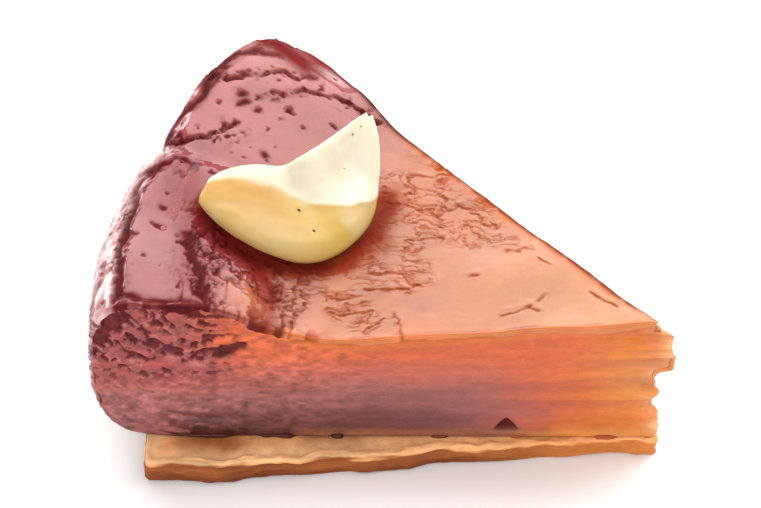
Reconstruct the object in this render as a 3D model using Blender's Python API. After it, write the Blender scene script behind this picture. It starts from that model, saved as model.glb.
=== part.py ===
"""A slice of tarte tatin: a thin pastry base, a thick layer of caramelised apple and a cream quenelle.

Metres, +Z up. The slice rests on its pastry at z = 0. Its centreline lies along X, with the rim at -X and the
tip at +X, and its two cuts meet on the tart's own centre, at (TIP_X, 0). The polar pair used below is the
distance r from that centre and the angle a from the centreline, negative on the -Y side.
"""

import math

import bmesh
import bpy
import numpy as np

# The whole tart, and the wedge cut from it.
TIP_X = 0.0612
TART_RADIUS = 0.1193
HALF_ANGLE = math.radians(24.2)
CUT_SHARE = 0.3515
CORNER_ROUND = 0.0011

# Pastry base: smaller than the apples above it, thicker at the rim, its -Y cut splayed out from theirs.
PASTRY_RADIUS = 0.1080
PASTRY_TIP_THICKNESS = 0.0049
PASTRY_RIM_THICKNESS = 0.0061
PASTRY_EDGE = 0.0007
PASTRY_SPLAY = 0.0078
PASTRY_SPLAY_LENGTH = 0.105
PASTRY_SPLAY_BAND = 0.25
PASTRY_WOBBLE = 0.00035
PASTRY_WOBBLE_TURNS = (9.0, 17.0)

# Apple layer. Its heights are above the table.
TOUCH_GAP = 0.0003
TIP_HEIGHT = 0.0396
MIDDLE_HEIGHT = 0.0353
MIDDLE_RADIUS = 0.068
ROLL_RISE = 0.0076
ROLL_LEAN = 0.45
ROLL_START = 0.0730
ROLL_LENGTH = 0.033
ROLL_SLANT = 0.0050
TOP_WAVE = 0.0004
WAVE_OUT = 190.0
WAVE_ACROSS = 160.0
WAVE_SLANT = (120.0, -210.0)

# The rim: two lobes with a crease between, rounded over above and tucked in below to meet the pastry.
LOBE_CREASE_ANGLE = math.radians(2.6)
LOBE_CREASE_WIDTH = math.radians(1.8)
LOBE_CREASE_DEPTH = 0.0014
LOBE_CREASE_START = 0.088
LOBE_CREASE_LENGTH = 0.020
RIM_FROM = 0.90
RIM_BLEND = 0.09
RIM_TUCK = 0.0128
RIM_TUCK_SHARE = 0.44
RIM_ROUND = 0.0100
RIM_ROUND_SHARE = 0.24
CUT_ROUND = 0.0011
CUT_ROUND_SHARE = 0.035

# The +Y lobe: domed on top, slumped along its cut, and squarer at the shoulder by a share of RIM_ROUND, which
# grows and fades again over the angles given, towards a corner that stands in from the rim.
DOME_RISE = 0.0042
DOME_ANGLE = math.radians(16.5)
DOME_WIDTH = math.radians(8.5)
DOME_START = 0.082
DOME_LENGTH = 0.018
SLUMP = 0.0042
SLUMP_WIDTH = 0.0036
SLUMP_START = 0.090
SLUMP_LENGTH = 0.014
SQUARE_SHARE = 0.65
SQUARE_ANGLE = math.radians(9.0)
CORNER_ANGLE = math.radians(18.0)
CORNER_LENGTH = math.radians(7.0)
CORNER_IN = 0.0010

# The torn tip: one apple slab hangs out past the rest, in line with the -Y cut.
SLAB_REACH = 0.0042
SLAB_LOW = 0.0243
SLAB_HIGH = 0.0352
SLAB_SOFTNESS = 0.0014
SLAB_SPREAD = 0.0060

# Cream quenelle: the three points that bend its spine, in plan, its greatest reach to either side of the
# spine, and the heights, above the table, of its ridge and of the tip of its ear.
CREAM_SPINE = ((-0.0412, -0.0088), (-0.0140, -0.0090), (-0.0142, 0.0208))
CREAM_BELLY = 0.0136
CREAM_BACK = 0.0089
CREAM_RIDGE_HEIGHT = 0.0472
CREAM_EAR_HEIGHT = 0.0520
CREAM_EAR_LIFT = 0.0135
CREAM_SPOON_MARK = 0.0012
CREAM_DIP = 0.0038
CREAM_START = 0.03
CREAM_END = 0.985
CREAM_ROUND_END = 0.16
CREAM_EAR_START = 0.30
CREAM_LIFT_START = 0.72
CREAM_DIP_START = 0.40
CREAM_DIP_LENGTH = 0.35
CREAM_TAPER = 0.20
CREAM_SLIM = 0.22
CREAM_SLIM_START = 0.25
CREAM_SADDLE = 0.0032
CREAM_SADDLE_AT = 0.50
CREAM_SADDLE_LENGTH = 0.16

# Facets, and the share of the radius at which the caps' middle points lie.
CAP_MIDDLE = 0.68
OUTLINE_POINTS = 112
FINE_PER_POINT = 18
TUCK_ROWS = 6
WALL_ROWS = 8
ROUND_ROWS = 6
TOP_ROWS = 11
CREAM_STEPS = 28
CREAM_SIDES = 22


def smooth_step(value):
    """0 below 0, 1 above 1, and an S curve between."""
    t = np.clip(value, 0.0, 1.0)
    return t * t * (3.0 - 2.0 * t)


def bell(value):
    """1 at 0, falling to nothing past 2 on either side."""
    return np.exp(-(value**2))


def polar(x, y):
    """Distance from the tart's centre, and angle from the slice's centreline."""
    return np.hypot(TIP_X - x, y), np.arctan2(y, TIP_X - x)


def lobe_crease(a):
    """1 in the fold between the two apple lobes of the rim, falling to 0 beside it."""
    return bell((a - LOBE_CREASE_ANGLE) / LOBE_CREASE_WIDTH)


def pastry_top(x):
    """The pastry's upper face: a plane that rises from the tip to the rim."""
    return PASTRY_TIP_THICKNESS + (PASTRY_RIM_THICKNESS - PASTRY_TIP_THICKNESS) * (TIP_X - x) / PASTRY_RADIUS


def top_height(x, y):
    """The apples' upper surface: it sags from the tip to the middle, then swells in a roll along the rim.

    The +Y lobe carries a dome, and slumps close to its cut.
    """
    r, a = polar(x, y)
    side = a / HALF_ANGLE
    plateau = TIP_HEIGHT + (MIDDLE_HEIGHT - TIP_HEIGHT) * smooth_step(r / MIDDLE_RADIUS)
    rise = smooth_step((r - ROLL_START - ROLL_SLANT * side) / ROLL_LENGTH)
    roll = ROLL_RISE * (1.0 - ROLL_LEAN * side) * rise
    crease = LOBE_CREASE_DEPTH * lobe_crease(a) * smooth_step((r - LOBE_CREASE_START) / LOBE_CREASE_LENGTH)
    dome = DOME_RISE * bell((a - DOME_ANGLE) / DOME_WIDTH) * smooth_step((r - DOME_START) / DOME_LENGTH)
    from_cut = r * np.sin(np.maximum(HALF_ANGLE - a, 0.0))
    slump = SLUMP * bell(from_cut / SLUMP_WIDTH) * smooth_step((r - SLUMP_START) / SLUMP_LENGTH)
    crossed = np.sin(r * WAVE_OUT + 1.3) * np.cos(y * WAVE_ACROSS)
    waves = crossed + 0.6 * np.sin(x * WAVE_SLANT[0] + y * WAVE_SLANT[1])
    return plateau + roll - crease + dome - slump + TOP_WAVE * waves


def wedge_ring(count, radius):
    """Plan points round the wedge, anticlockwise from the tip, with every corner rounded.

    In polar terms r runs from 0 to the rim along the +Y cut, stays there round the arc and runs back to 0,
    while a falls from +HALF_ANGLE to -HALF_ANGLE round the arc. A Gaussian along the line rounds the corners.
    """
    fine = count * FINE_PER_POINT
    u = np.arange(fine) / fine
    side = 1.0 - 2.0 * np.clip((u - CUT_SHARE) / (1.0 - 2.0 * CUT_SHARE), 0.0, 1.0)
    r = radius * np.clip(np.minimum(u, 1.0 - u) / CUT_SHARE, 0.0, 1.0)
    a = HALF_ANGLE * side
    line = (TIP_X - r * np.cos(a)) + 1j * r * np.sin(a)
    waves_per_point = np.fft.fftfreq(fine)
    spread = CORNER_ROUND * CUT_SHARE * fine / radius
    rounded = np.fft.ifft(np.fft.fft(line) * np.exp(-2.0 * (np.pi * spread * waves_per_point) ** 2))
    return np.column_stack([rounded.real, rounded.imag])[::FINE_PER_POINT]


def outward(points):
    """Unit vectors pointing out of a closed anticlockwise outline."""
    along = np.roll(points, -1, axis=0) - np.roll(points, 1, axis=0)
    along /= np.linalg.norm(along, axis=1)[:, None]
    return np.column_stack([along[:, 1], -along[:, 0]])


def with_height(points, height):
    """Plan points given a height, which is one number or one for each point."""
    return np.column_stack([points, np.broadcast_to(height, len(points))])


def closed_mesh(name, rings, bottom, top):
    """One closed body from a stack of equal rings, capped by a fan to a bottom and to a top point."""
    shape = bmesh.new()
    rows = [[shape.verts.new(p) for p in ring] for ring in rings]
    count = len(rows[0])
    for low, high in zip(rows, rows[1:]):
        for i in range(count):
            j = (i + 1) % count
            shape.faces.new((low[i], low[j], high[j], high[i]))
    for row, point, turned in ((rows[0], bottom, True), (rows[-1], top, False)):
        centre = shape.verts.new(point)
        for i in range(count):
            pair = (row[i], row[(i + 1) % count])
            shape.faces.new((*pair[::-1], centre) if turned else (*pair, centre))
    bmesh.ops.recalc_face_normals(shape, faces=shape.faces)
    mesh = bpy.data.meshes.new(name)
    shape.to_mesh(mesh)
    shape.free()
    mesh.shade_smooth()
    mesh.set_sharp_from_angle(angle=math.radians(50))
    piece = bpy.data.objects.new(name, mesh)
    bpy.context.scene.collection.objects.link(piece)
    return piece


def finish(name, colour, roughness, coat=0.0):
    """A Principled material for food, with an optional glossy coat."""
    material = bpy.data.materials.new(name)
    material.use_nodes = True
    shader = material.node_tree.nodes["Principled BSDF"]
    shader.inputs["Base Color"].default_value = (*colour, 1.0)
    shader.inputs["Roughness"].default_value = roughness
    shader.inputs["Metallic"].default_value = 0.0
    shader.inputs["Coat Weight"].default_value = coat
    return material


def make_pastry():
    """A thin wedge of baked pastry, flat below, with eased edges, an uneven outline and one splayed cut."""
    ring = wedge_ring(OUTLINE_POINTS, PASTRY_RADIUS)
    r, a = polar(ring[:, 0], ring[:, 1])
    splay = PASTRY_SPLAY * smooth_step(r / PASTRY_SPLAY_LENGTH)
    front = smooth_step((-a / HALF_ANGLE - 1.0 + PASTRY_SPLAY_BAND) / PASTRY_SPLAY_BAND)
    ring = ring + np.array((math.sin(HALF_ANGLE), -math.cos(HALF_ANGLE))) * (splay * front)[:, None]
    turn = np.arange(OUTLINE_POINTS) * (2.0 * np.pi / OUTLINE_POINTS)
    slow, quick = PASTRY_WOBBLE_TURNS
    wobble = PASTRY_WOBBLE * (np.sin(turn * slow) + 0.7 * np.sin(turn * quick + 2.0))
    out = outward(ring)
    ring = ring + out * wobble[:, None]
    top = pastry_top(ring[:, 0])
    rings = [
        with_height(ring - out * PASTRY_EDGE, 0.0),
        with_height(ring, PASTRY_EDGE),
        with_height(ring, top - PASTRY_EDGE),
        with_height(ring - out * PASTRY_EDGE, pastry_top(ring[:, 0] - out[:, 0] * PASTRY_EDGE)),
    ]
    middle = (TIP_X - CAP_MIDDLE * PASTRY_RADIUS, 0.0)
    return closed_mesh("pastry_base", rings, (*middle, 0.0), (*middle, pastry_top(middle[0])))


def quarter_round(share):
    """The inset of a quarter circle, 0 at its foot and 1 at its crown."""
    return 1.0 - np.sqrt(1.0 - np.clip(share, 0.0, 1.0) ** 2)


def shoulder(share):
    """How far the rim's rounded shoulder stands in from its widest, by share of its height."""
    return RIM_ROUND * quarter_round((share - 1.0 + RIM_ROUND_SHARE) / RIM_ROUND_SHARE)


def squareness(a):
    """How much squarer the shoulder is than elsewhere on the rim, and how close the +Y corner is."""
    corner = smooth_step((a - CORNER_ANGLE) / CORNER_LENGTH)
    return SQUARE_SHARE * smooth_step((a - LOBE_CREASE_ANGLE) / SQUARE_ANGLE) * (1.0 - corner), corner


def rim_inset(share):
    """How far the rim stands in from its widest, by share of its height: tucked below, rounded above."""
    return RIM_TUCK * quarter_round(1.0 - share / RIM_TUCK_SHARE) + shoulder(share)


def cut_inset(share):
    """The same for a cut face: upright, with a slightly rounded upper edge."""
    return CUT_ROUND * quarter_round((share - 1.0 + CUT_ROUND_SHARE) / CUT_ROUND_SHARE)


def apple_ring(share):
    """The apple layer's outline at one share of its height, with that height for each point."""
    inset = rim_inset(share)
    ring = wedge_ring(OUTLINE_POINTS, TART_RADIUS - inset)
    r, a = polar(ring[:, 0], ring[:, 1])
    rimness = smooth_step((r / (TART_RADIUS - inset) - RIM_FROM) / RIM_BLEND)
    square, corner = squareness(a)
    move = -rimness * LOBE_CREASE_DEPTH * lobe_crease(a) - (1.0 - rimness) * cut_inset(share)
    from_centre = np.column_stack([-np.cos(a), np.sin(a)])
    square_push = rimness * (square * shoulder(share) - corner * CORNER_IN)
    ring = ring + outward(ring) * move[:, None] + from_centre * square_push[:, None]
    rounding = RIM_ROUND * (1.0 - square)
    crown = np.clip(1.0 - rounding / np.maximum(r, rounding), 0.0, 1.0) * rimness + (1.0 - rimness)
    edge_top = top_height(TIP_X - (TIP_X - ring[:, 0]) * crown, ring[:, 1] * crown)
    floor = pastry_top(ring[:, 0]) + TOUCH_GAP
    height = floor + (edge_top - floor) * share
    above_low = smooth_step((height - SLAB_LOW) / SLAB_SOFTNESS)
    above_high = smooth_step((height - SLAB_HIGH) / SLAB_SOFTNESS)
    push = SLAB_REACH * (above_low - above_high) * bell(r / SLAB_SPREAD)
    ring = ring + np.array((math.cos(HALF_ANGLE), math.sin(HALF_ANGLE))) * push[:, None]
    return with_height(ring, height)


def make_apples():
    """The apple layer: upright cuts, a bulging rim, and an upper surface that sags and rolls."""
    low = RIM_TUCK_SHARE * (1.0 - np.cos(np.linspace(0.0, 0.5 * np.pi, TUCK_ROWS + 1)))
    wall = np.linspace(RIM_TUCK_SHARE, 1.0 - RIM_ROUND_SHARE, WALL_ROWS + 1)[1:]
    over = 1.0 - RIM_ROUND_SHARE * (1.0 - np.sin(np.linspace(0.0, 0.5 * np.pi, ROUND_ROWS + 1)))[1:]
    rings = [apple_ring(share) for share in np.concatenate([low, wall, over])]
    edge = rings[-1][:, :2]
    middle = np.array((TIP_X - CAP_MIDDLE * TART_RADIUS, 0.0))
    for share in np.linspace(0.0, 1.0, TOP_ROWS + 1)[1:-1]:
        ring = edge + (middle - edge) * share
        rings.append(with_height(ring, top_height(ring[:, 0], ring[:, 1])))
    floor = pastry_top(middle[0]) + TOUCH_GAP
    return closed_mesh("apple_layer", rings, (*middle, floor), (*middle, top_height(*middle)))


def cream_spine(t):
    """Points on the spine and the unit vectors across it, towards the outside of its bend."""
    start, bend, end = (np.array(point) for point in CREAM_SPINE)
    t = t[:, None]
    points = start * (1.0 - t) ** 2 + bend * (2.0 * t * (1.0 - t)) + end * t**2
    along = (bend - start) * (1.0 - t) + (end - bend) * t
    along /= np.linalg.norm(along, axis=1)[:, None]
    return points, np.column_stack([along[:, 1], -along[:, 0]])


def cream_controls(t, rest):
    """Ten corners that each section of the cream is rounded from, as (across, up), for every step t along it.

    The belly is on the outside of the bend, and slims towards the end. A ridge runs over it and moves out to
    its edge, and a shallow spoon mark lies behind the ridge. The back edge dips in a saddle half way along
    and then climbs to an ear, which leans clear of the apples at the end. The named heights are above the
    table, and rest is the height that each section stands on.
    """
    slim = CREAM_SLIM * smooth_step((t - CREAM_SLIM_START) / (1.0 - CREAM_SLIM_START))
    belly = CREAM_BELLY * np.sin(np.pi * t**1.08) ** 0.7 * (1.0 - slim)
    back = CREAM_BACK * np.sin(np.pi * t**0.62) ** 0.7
    opening = np.clip(t / CREAM_ROUND_END, 0.0, 1.0)
    round_end = np.sqrt(opening * (2.0 - opening))
    taper = smooth_step((1.0 - t) / CREAM_TAPER)
    ear = smooth_step((t - CREAM_EAR_START) / (1.0 - CREAM_EAR_START))
    lift = CREAM_EAR_LIFT * smooth_step((t - CREAM_LIFT_START) / (1.0 - CREAM_LIFT_START))
    saddle = CREAM_SADDLE * bell((t - CREAM_SADDLE_AT) / CREAM_SADDLE_LENGTH)
    rear = (CREAM_RIDGE_HEIGHT - rest) * round_end + (CREAM_EAR_HEIGHT - CREAM_RIDGE_HEIGHT) * ear - saddle
    dip = CREAM_DIP * smooth_step((t - CREAM_DIP_START) / CREAM_DIP_LENGTH)
    ridge = rear - ((CREAM_EAR_HEIGHT - CREAM_RIDGE_HEIGHT) * ear + dip) * taper
    ridge_at = belly * (0.08 + 0.50 * smooth_step((t - 0.25) / 0.5))
    corners = (
        (0.50 * belly, lift),
        (0.96 * belly, lift + 0.10 * (ridge - lift)),
        (1.10 * belly, lift + 0.42 * (ridge - lift)),
        (np.maximum(0.82 * belly, ridge_at * 1.15), lift + 0.88 * (ridge - lift)),
        (ridge_at, 1.05 * ridge),
        (0.5 * (ridge_at - back), 0.5 * (ridge + rear) - CREAM_SPOON_MARK * ear),
        (-0.85 * back, 1.05 * rear),
        (-1.14 * back, 0.80 * rear + 0.20 * lift),
        (-1.00 * back, 0.25 * rear + 0.75 * lift),
        (-0.50 * back, lift),
    )
    return np.array(corners).transpose(2, 0, 1)


def rounded_section(corners, count):
    """A closed cubic B-spline pulled by its corners, at even steps; corners are (step, corner, axis)."""
    at = np.arange(count) * (corners.shape[1] / count)
    cell = at.astype(int)
    f = (at - cell)[:, None]
    weights = ((1 - f) ** 3, 3 * f**3 - 6 * f**2 + 4, -3 * f**3 + 3 * f**2 + 3 * f + 1, f**3)
    pulls = (w / 6.0 * corners[:, (cell + i - 1) % corners.shape[1]] for i, w in enumerate(weights))
    return sum(pulls)


def make_cream():
    """The quenelle: rounded sections carried along the bent spine, lying on the apples' upper surface."""
    t = np.linspace(CREAM_START, CREAM_END, CREAM_STEPS)
    centre, across = cream_spine(t)
    section = rounded_section(cream_controls(t, top_height(centre[:, 0], centre[:, 1])), CREAM_SIDES)
    plan = centre[:, None] + across[:, None] * section[:, :, :1]
    height = top_height(plan[..., 0], plan[..., 1]) + TOUCH_GAP + section[..., 1]
    rings = np.concatenate([plan, height[..., None]], axis=2)
    first, last = rings[0].mean(axis=0), rings[-1].mean(axis=0)
    return closed_mesh("cream_quenelle", rings, tuple(first), tuple(last))


def main():
    for old in list(bpy.data.objects):
        bpy.data.objects.remove(old)
    pastry = make_pastry()
    pastry.data.materials.append(finish("baked_pastry", (0.66, 0.37, 0.14), 0.65))
    apples = make_apples()
    apples.data.materials.append(finish("caramelised_apple", (0.36, 0.075, 0.025), 0.22, coat=0.8))
    cream = make_cream()
    cream.data.materials.append(finish("vanilla_cream", (0.90, 0.80, 0.48), 0.38))


main()
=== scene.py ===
"""A slice of tarte tatin: pressed apple under a glossy caramel skin, on crisp pastry, with cream.

Metres, +Z up. The slice's centreline lies along X, with the rim at -X and the tip at +X. Its two cuts meet
at (TIP_X, 0). r and a are the distance from that point and the angle from the centreline, negative on the
-Y side.
"""

import math

import bpy
import numpy as np
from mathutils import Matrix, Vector


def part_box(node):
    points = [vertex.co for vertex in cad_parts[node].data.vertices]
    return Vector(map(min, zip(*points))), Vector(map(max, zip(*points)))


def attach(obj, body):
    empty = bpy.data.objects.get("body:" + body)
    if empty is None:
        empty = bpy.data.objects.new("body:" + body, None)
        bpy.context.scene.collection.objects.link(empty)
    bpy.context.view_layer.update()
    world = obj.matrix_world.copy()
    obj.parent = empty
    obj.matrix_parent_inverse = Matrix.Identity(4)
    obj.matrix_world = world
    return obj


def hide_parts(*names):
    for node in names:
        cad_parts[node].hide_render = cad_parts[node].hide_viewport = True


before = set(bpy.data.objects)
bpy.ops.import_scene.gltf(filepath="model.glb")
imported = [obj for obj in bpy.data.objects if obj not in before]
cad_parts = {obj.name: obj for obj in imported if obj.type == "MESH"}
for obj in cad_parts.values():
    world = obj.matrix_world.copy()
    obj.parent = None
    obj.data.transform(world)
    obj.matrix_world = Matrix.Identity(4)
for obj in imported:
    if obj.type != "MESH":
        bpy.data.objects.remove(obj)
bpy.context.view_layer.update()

MM = 0.001

# The tart and its wedge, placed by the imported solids.
TART_RADIUS = 119.3 * MM
TIP_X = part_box("apple_layer")[0][0] + TART_RADIUS
HALF_ANGLE = math.radians(24.2)
CUT_SHARE = 0.3515
CORNER_ROUND = 1.1 * MM

# Pastry base.
PASTRY_RADIUS = 108.0 * MM
PASTRY_TIP_THICKNESS = 4.9 * MM
PASTRY_RIM_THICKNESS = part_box("pastry_base")[1][2]
PASTRY_EDGE = 0.7 * MM
PASTRY_SPLAY = 7.8 * MM
PASTRY_SPLAY_LENGTH = 105.0 * MM
PASTRY_SPLAY_BAND = 0.25
PASTRY_WOBBLE = 0.35 * MM
PASTRY_WOBBLE_TURNS = (9.0, 17.0)

# Apple layer, with heights above the table.
TOUCH_GAP = 0.3 * MM
TIP_HEIGHT = 39.6 * MM
MIDDLE_HEIGHT = 35.3 * MM
MIDDLE_RADIUS = 68.0 * MM
ROLL_RISE = 7.6 * MM
ROLL_LEAN = 0.45
ROLL_START = 73.0 * MM
ROLL_LENGTH = 33.0 * MM
ROLL_SLANT = 5.0 * MM
TOP_WAVE = 0.4 * MM
WAVE_OUT = 190.0
WAVE_ACROSS = 160.0
WAVE_SLANT = (120.0, -210.0)
LOBE_CREASE_ANGLE = math.radians(2.6)
LOBE_CREASE_WIDTH = math.radians(1.8)
LOBE_CREASE_DEPTH = 1.4 * MM
LOBE_CREASE_START = 88.0 * MM
LOBE_CREASE_LENGTH = 20.0 * MM
RIM_FROM = 0.90
RIM_BLEND = 0.09
RIM_TUCK = 12.8 * MM
RIM_TUCK_SHARE = 0.44
RIM_ROUND = 10.0 * MM
RIM_ROUND_SHARE = 0.24
CUT_ROUND = 1.1 * MM
CUT_ROUND_SHARE = 0.035
DOME_RISE = 4.2 * MM
DOME_ANGLE = math.radians(16.5)
DOME_WIDTH = math.radians(8.5)
DOME_START = 82.0 * MM
DOME_LENGTH = 18.0 * MM
SLUMP = 4.2 * MM
SLUMP_WIDTH = 3.6 * MM
SLUMP_START = 90.0 * MM
SLUMP_LENGTH = 14.0 * MM
SQUARE_SHARE = 0.65
SQUARE_ANGLE = math.radians(9.0)
CORNER_ANGLE = math.radians(18.0)
CORNER_LENGTH = math.radians(7.0)
CORNER_IN = 1.0 * MM
SLAB_REACH = 4.2 * MM
SLAB_LOW = 24.3 * MM
SLAB_HIGH = 35.2 * MM
SLAB_SOFTNESS = 1.4 * MM
SLAB_SPREAD = 6.0 * MM

# Caramel skin: how far it buries its underside, and the lip that it turns down over each cut.
SKIN_DEPTH = 2.4 * MM
SKIN_UNDERSIDE = ((0.965, 0.6), (0.90, 0.85), (0.75, 1.0), (0.5, 1.0), (0.25, 1.0))
FLESH_BELOW_SKIN = 0.8 * MM
SHOULDER_BLEND = 14.3 * MM
LIP_ROUND = 0.6 * MM
LIP_PROUD = 0.10 * MM
LIP_DROP = 0.8 * MM
LIP_TUCK = 1.0 * MM
LIP_START = 4.0 * MM

# Folds of the caramel skin, in plan, in millimetres.
FAR_CREASE = ((-49, 24), (-46, 26.5), (-43.6, 27), (-38.6, 31.3), (-35.4, 30.8), (-33, 33.5))
INNER_CREASE = ((-40.5, 22.8), (-38.5, 25.5), (-36.6, 26), (-32, 30.3), (-27.5, 32), (-22, 33), (-18, 33))
LOBE_FOLD = ((-55.5, 6.5), (-50.6, 7.3), (-47.3, 9.6), (-45.1, 10.9), (-42.3, 13.9))
LOBE_END = ((-52, -2), (-50.5, 0.5), (-47.5, 0.5), (-45, -0.5))
RIM_FOLD = (
    (-52, -2), (-53.7, -8.8), (-52.4, -14.9), (-51.7, -21.2), (-49.6, -29.3), (-46.9, -34.6), (-43.1, -43)
)
FAR_RIM_FOLD = ((-55.6, 8), (-55, 12.9), (-52.9, 16.7), (-52.5, 23), (-51.4, 28), (-46.7, 34.2), (-42, 36))
ROLL_FOLD = ((-38.5, -19), (-33, -27), (-27, -36))
FRONT_FOLD = ((-43.1, -42.5), (-38.2, -42.7), (-33, -41), (-28.4, -39.3))
# Each fold's path, width and depth, then the folds that have chipped skin beside them and how far it reaches.
FOLDS = (
    (FAR_CREASE, 0.40, 0.7),
    (INNER_CREASE, 0.36, 0.6),
    (LOBE_FOLD, 0.42, 0.8),
    (LOBE_END, 0.50, 0.8),
    (RIM_FOLD, 0.75, 0.9),
    (FAR_RIM_FOLD, 0.90, 0.5),
    (FRONT_FOLD, 0.60, 0.5),
    (ROLL_FOLD, 0.8, 0.6),
)
CRACKED = ((FAR_CREASE, 1.8), (LOBE_FOLD, 2.4), (RIM_FOLD, 1.8), (INNER_CREASE, 1.8))
CRUMPLED_BAND = ((-46, -1), (-43.5, -8), (-39, -17), (-34.5, -25), (-31, -34))
BUBBLY_BAND = ((-36, -14), (-32.5, -18), (-30.5, -22), (-31.5, -27), (-28, -32))
VALLEY = ((-36, -13.5), (-30, -16.5), (-23, -17), (-18.5, -22), (-15.8, -28), (-14.2, -33.5))
TIP_MARKS = (
    ((28.5, -8.5), (31.5, -6.5), (34.2, -4.0), (35.7, -0.6)),
    ((33.0, -4.8), (35.5, -5.0)),
    ((43.5, 3.8), (46.5, 2.6), (50.6, 2.0)),
    ((9.6, -6.8), (8.6, -9.0), (5.3, -9.9), (-1.2, -12.8)),
    ((17.8, -1.2), (20.5, -0.3)),
    ((24.5, 9.6), (27.5, 10.4)),
    ((30.5, 7.9), (33.0, 7.4)),
    ((7.0, -16.5), (9.5, -19.5), (11.7, -22.3)),
)
SPOTS = (
    (-44.6, 21.6, 0.9), (-43.3, 19.6, 0.7), (-40.3, 19.5, 0.8), (-34.0, 23.6, 0.5), (-35.3, 20.1, 0.45),
    (-34.0, 10.3, 0.7), (-45.7, -14.0, 0.8), (-46.9, -10.3, 0.5),
)
# How much wider than its groove a fold's painted shade spreads.
FOLD_SHADE = 1.7
BUMP = (-19.6 * MM, -30.6 * MM)
BUMP_REACH = 5.5 * MM
BUMP_HEIGHT = 1.3 * MM

# A long crack in the -Y cut, under the skin at the rim, as (r, z) in millimetres.
CUT_CRACK = ((98, 29.5), (94.5, 31.3), (90.5, 32.3), (87, 33.2))
CREAM_FOOT = ((-39, -10), (-34, -13), (-25, -16), (-16, -14), (-8, -8), (-5, 3), (-8, 13))

# Patches of wrinkled skin: centre and reach, in millimetres.
WRINKLED = (
    (-2, 17, 9), (7, 15, 8), (13, 11, 6), (-11, -11, 8), (-2, -7, 8), (6, -5, 5), (-1, 5, 7), (20, 11, 4),
    (-14, -24, 6), (3, -20, 4), (-3, -17, 6),
)
# Size, seed, width and rise of the wrinkles in those patches, coarse and fine, in millimetres.
WRINKLES = (((7.0, 2.6, 5.0), 21, 0.28, 0.22), ((3.6, 1.5, 4.0), 25, 0.20, 0.12))

# Where the -Y cut's foot drips on to the pastry, as (r, half length) in millimetres.
DRIPS = ((96, 6.0), (80, 3.2), (67.5, 1.2), (46, 1.6), (30, 1.0), (11, 2.2))

# Cream.
CREAM_SPINE = ((-41.2 * MM, -8.8 * MM), (-14.0 * MM, -9.0 * MM), (-14.2 * MM, 20.8 * MM))
CREAM_BELLY = 13.6 * MM
CREAM_BACK = 8.9 * MM
CREAM_RIDGE_HEIGHT = 47.2 * MM
CREAM_EAR_HEIGHT = 52.0 * MM
CREAM_EAR_LIFT = 13.5 * MM
CREAM_SPOON_MARK = 1.2 * MM
CREAM_DIP = 3.8 * MM
CREAM_START = 0.03
CREAM_END = 0.985
CREAM_ROUND_END = 0.16
CREAM_EAR_START = 0.30
CREAM_LIFT_START = 0.72
CREAM_DIP_START = 0.40
CREAM_DIP_LENGTH = 0.35
CREAM_TAPER = 0.20
CREAM_SLIM = 0.22
CREAM_SLIM_START = 0.25
CREAM_SADDLE = 3.2 * MM
CREAM_SADDLE_AT = 0.50
CREAM_SADDLE_LENGTH = 0.16
CREAM_CORNERS = 10

# The border between the cream's belly, painted yellow as shade, and its back, painted white as light:
# share of the spine, number of the corner.
CREAM_BORDER = ((0.0, 5.5), (0.42, 5.25), (0.54, 4.75), (0.65, 4.15), (0.73, 3.5), (0.83, 1.9), (0.90, 0.0))

# Vanilla seeds: the two on the belly by their place in millimetres, and the rows and sides of each ellipsoid.
SEED_DRAW = 7
SEED_PAIR = ((-19.6, -4.1), (-14.9, -7.1))
SEED_PAIR_SIZES = (0.42 * MM, 0.36 * MM)
SEED_SIZES = (0.16, 0.28)
SEED_SHAPE = (1.25, 0.85, 0.7)
SEED_SUNK = 0.1 * MM
SEED_ROWS = 6
SEED_SIDES = 10

# Colours, as linear red, green and blue.
SKIN_TIP = (0.44, 0.170, 0.040)
SKIN_MIDDLE = (0.35, 0.090, 0.024)
SKIN_LOBE = (0.32, 0.080, 0.074)
SKIN_RIM = (0.215, 0.022, 0.028)
SKIN_FOOT = (0.20, 0.060, 0.050)
# Painted sheen for the bump beside the cream.
SKIN_BUMP_SHEEN = (0.46, 0.115, 0.040)
# Painted shade round the cream's foot and in the valley.
SKIN_POOLED_SHADE = (0.185, 0.012, 0.007)
SKIN_CRINKLE = (0.24, 0.032, 0.009)
SKIN_CREVICE = (0.060, 0.004, 0.006)
# Painted shade for the far corner, which slopes away from the light.
SKIN_CORNER_SHADE = (0.170, 0.010, 0.009)
SKIN_EDGE = (0.58, 0.145, 0.023)
# Painted highlight for the near lobe's upper wall.
SKIN_WALL_HIGHLIGHT = (0.72, 0.46, 0.44)
FLESH_AMBER = (0.60, 0.145, 0.020)
FLESH_SALMON = (0.56, 0.104, 0.036)
FLESH_PINK = (0.46, 0.110, 0.076)
FLESH_MAUVE = (0.270, 0.088, 0.084)
FLESH_DARK = (0.140, 0.046, 0.048)
FLESH_FOOT = (0.30, 0.105, 0.055)
FLESH_RED = (0.29, 0.052, 0.052)
FLESH_LOW_BLACK = (0.060, 0.010, 0.006)
# Painted shade in the cut apple's pits.
FLESH_PIT_SHADE = (0.090, 0.006, 0.012)
FLESH_MEMBRANE = (0.46, 0.150, 0.150)
FLESH_YELLOW = (0.66, 0.235, 0.045)
FLESH_PALE = (0.82, 0.50, 0.25)
PASTRY_CREST = (0.93, 0.58, 0.30)
PASTRY_GOLD = (0.92, 0.435, 0.180)
PASTRY_BAKED = (0.36, 0.100, 0.025)
PASTRY_TOASTED = (0.22, 0.052, 0.013)
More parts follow.
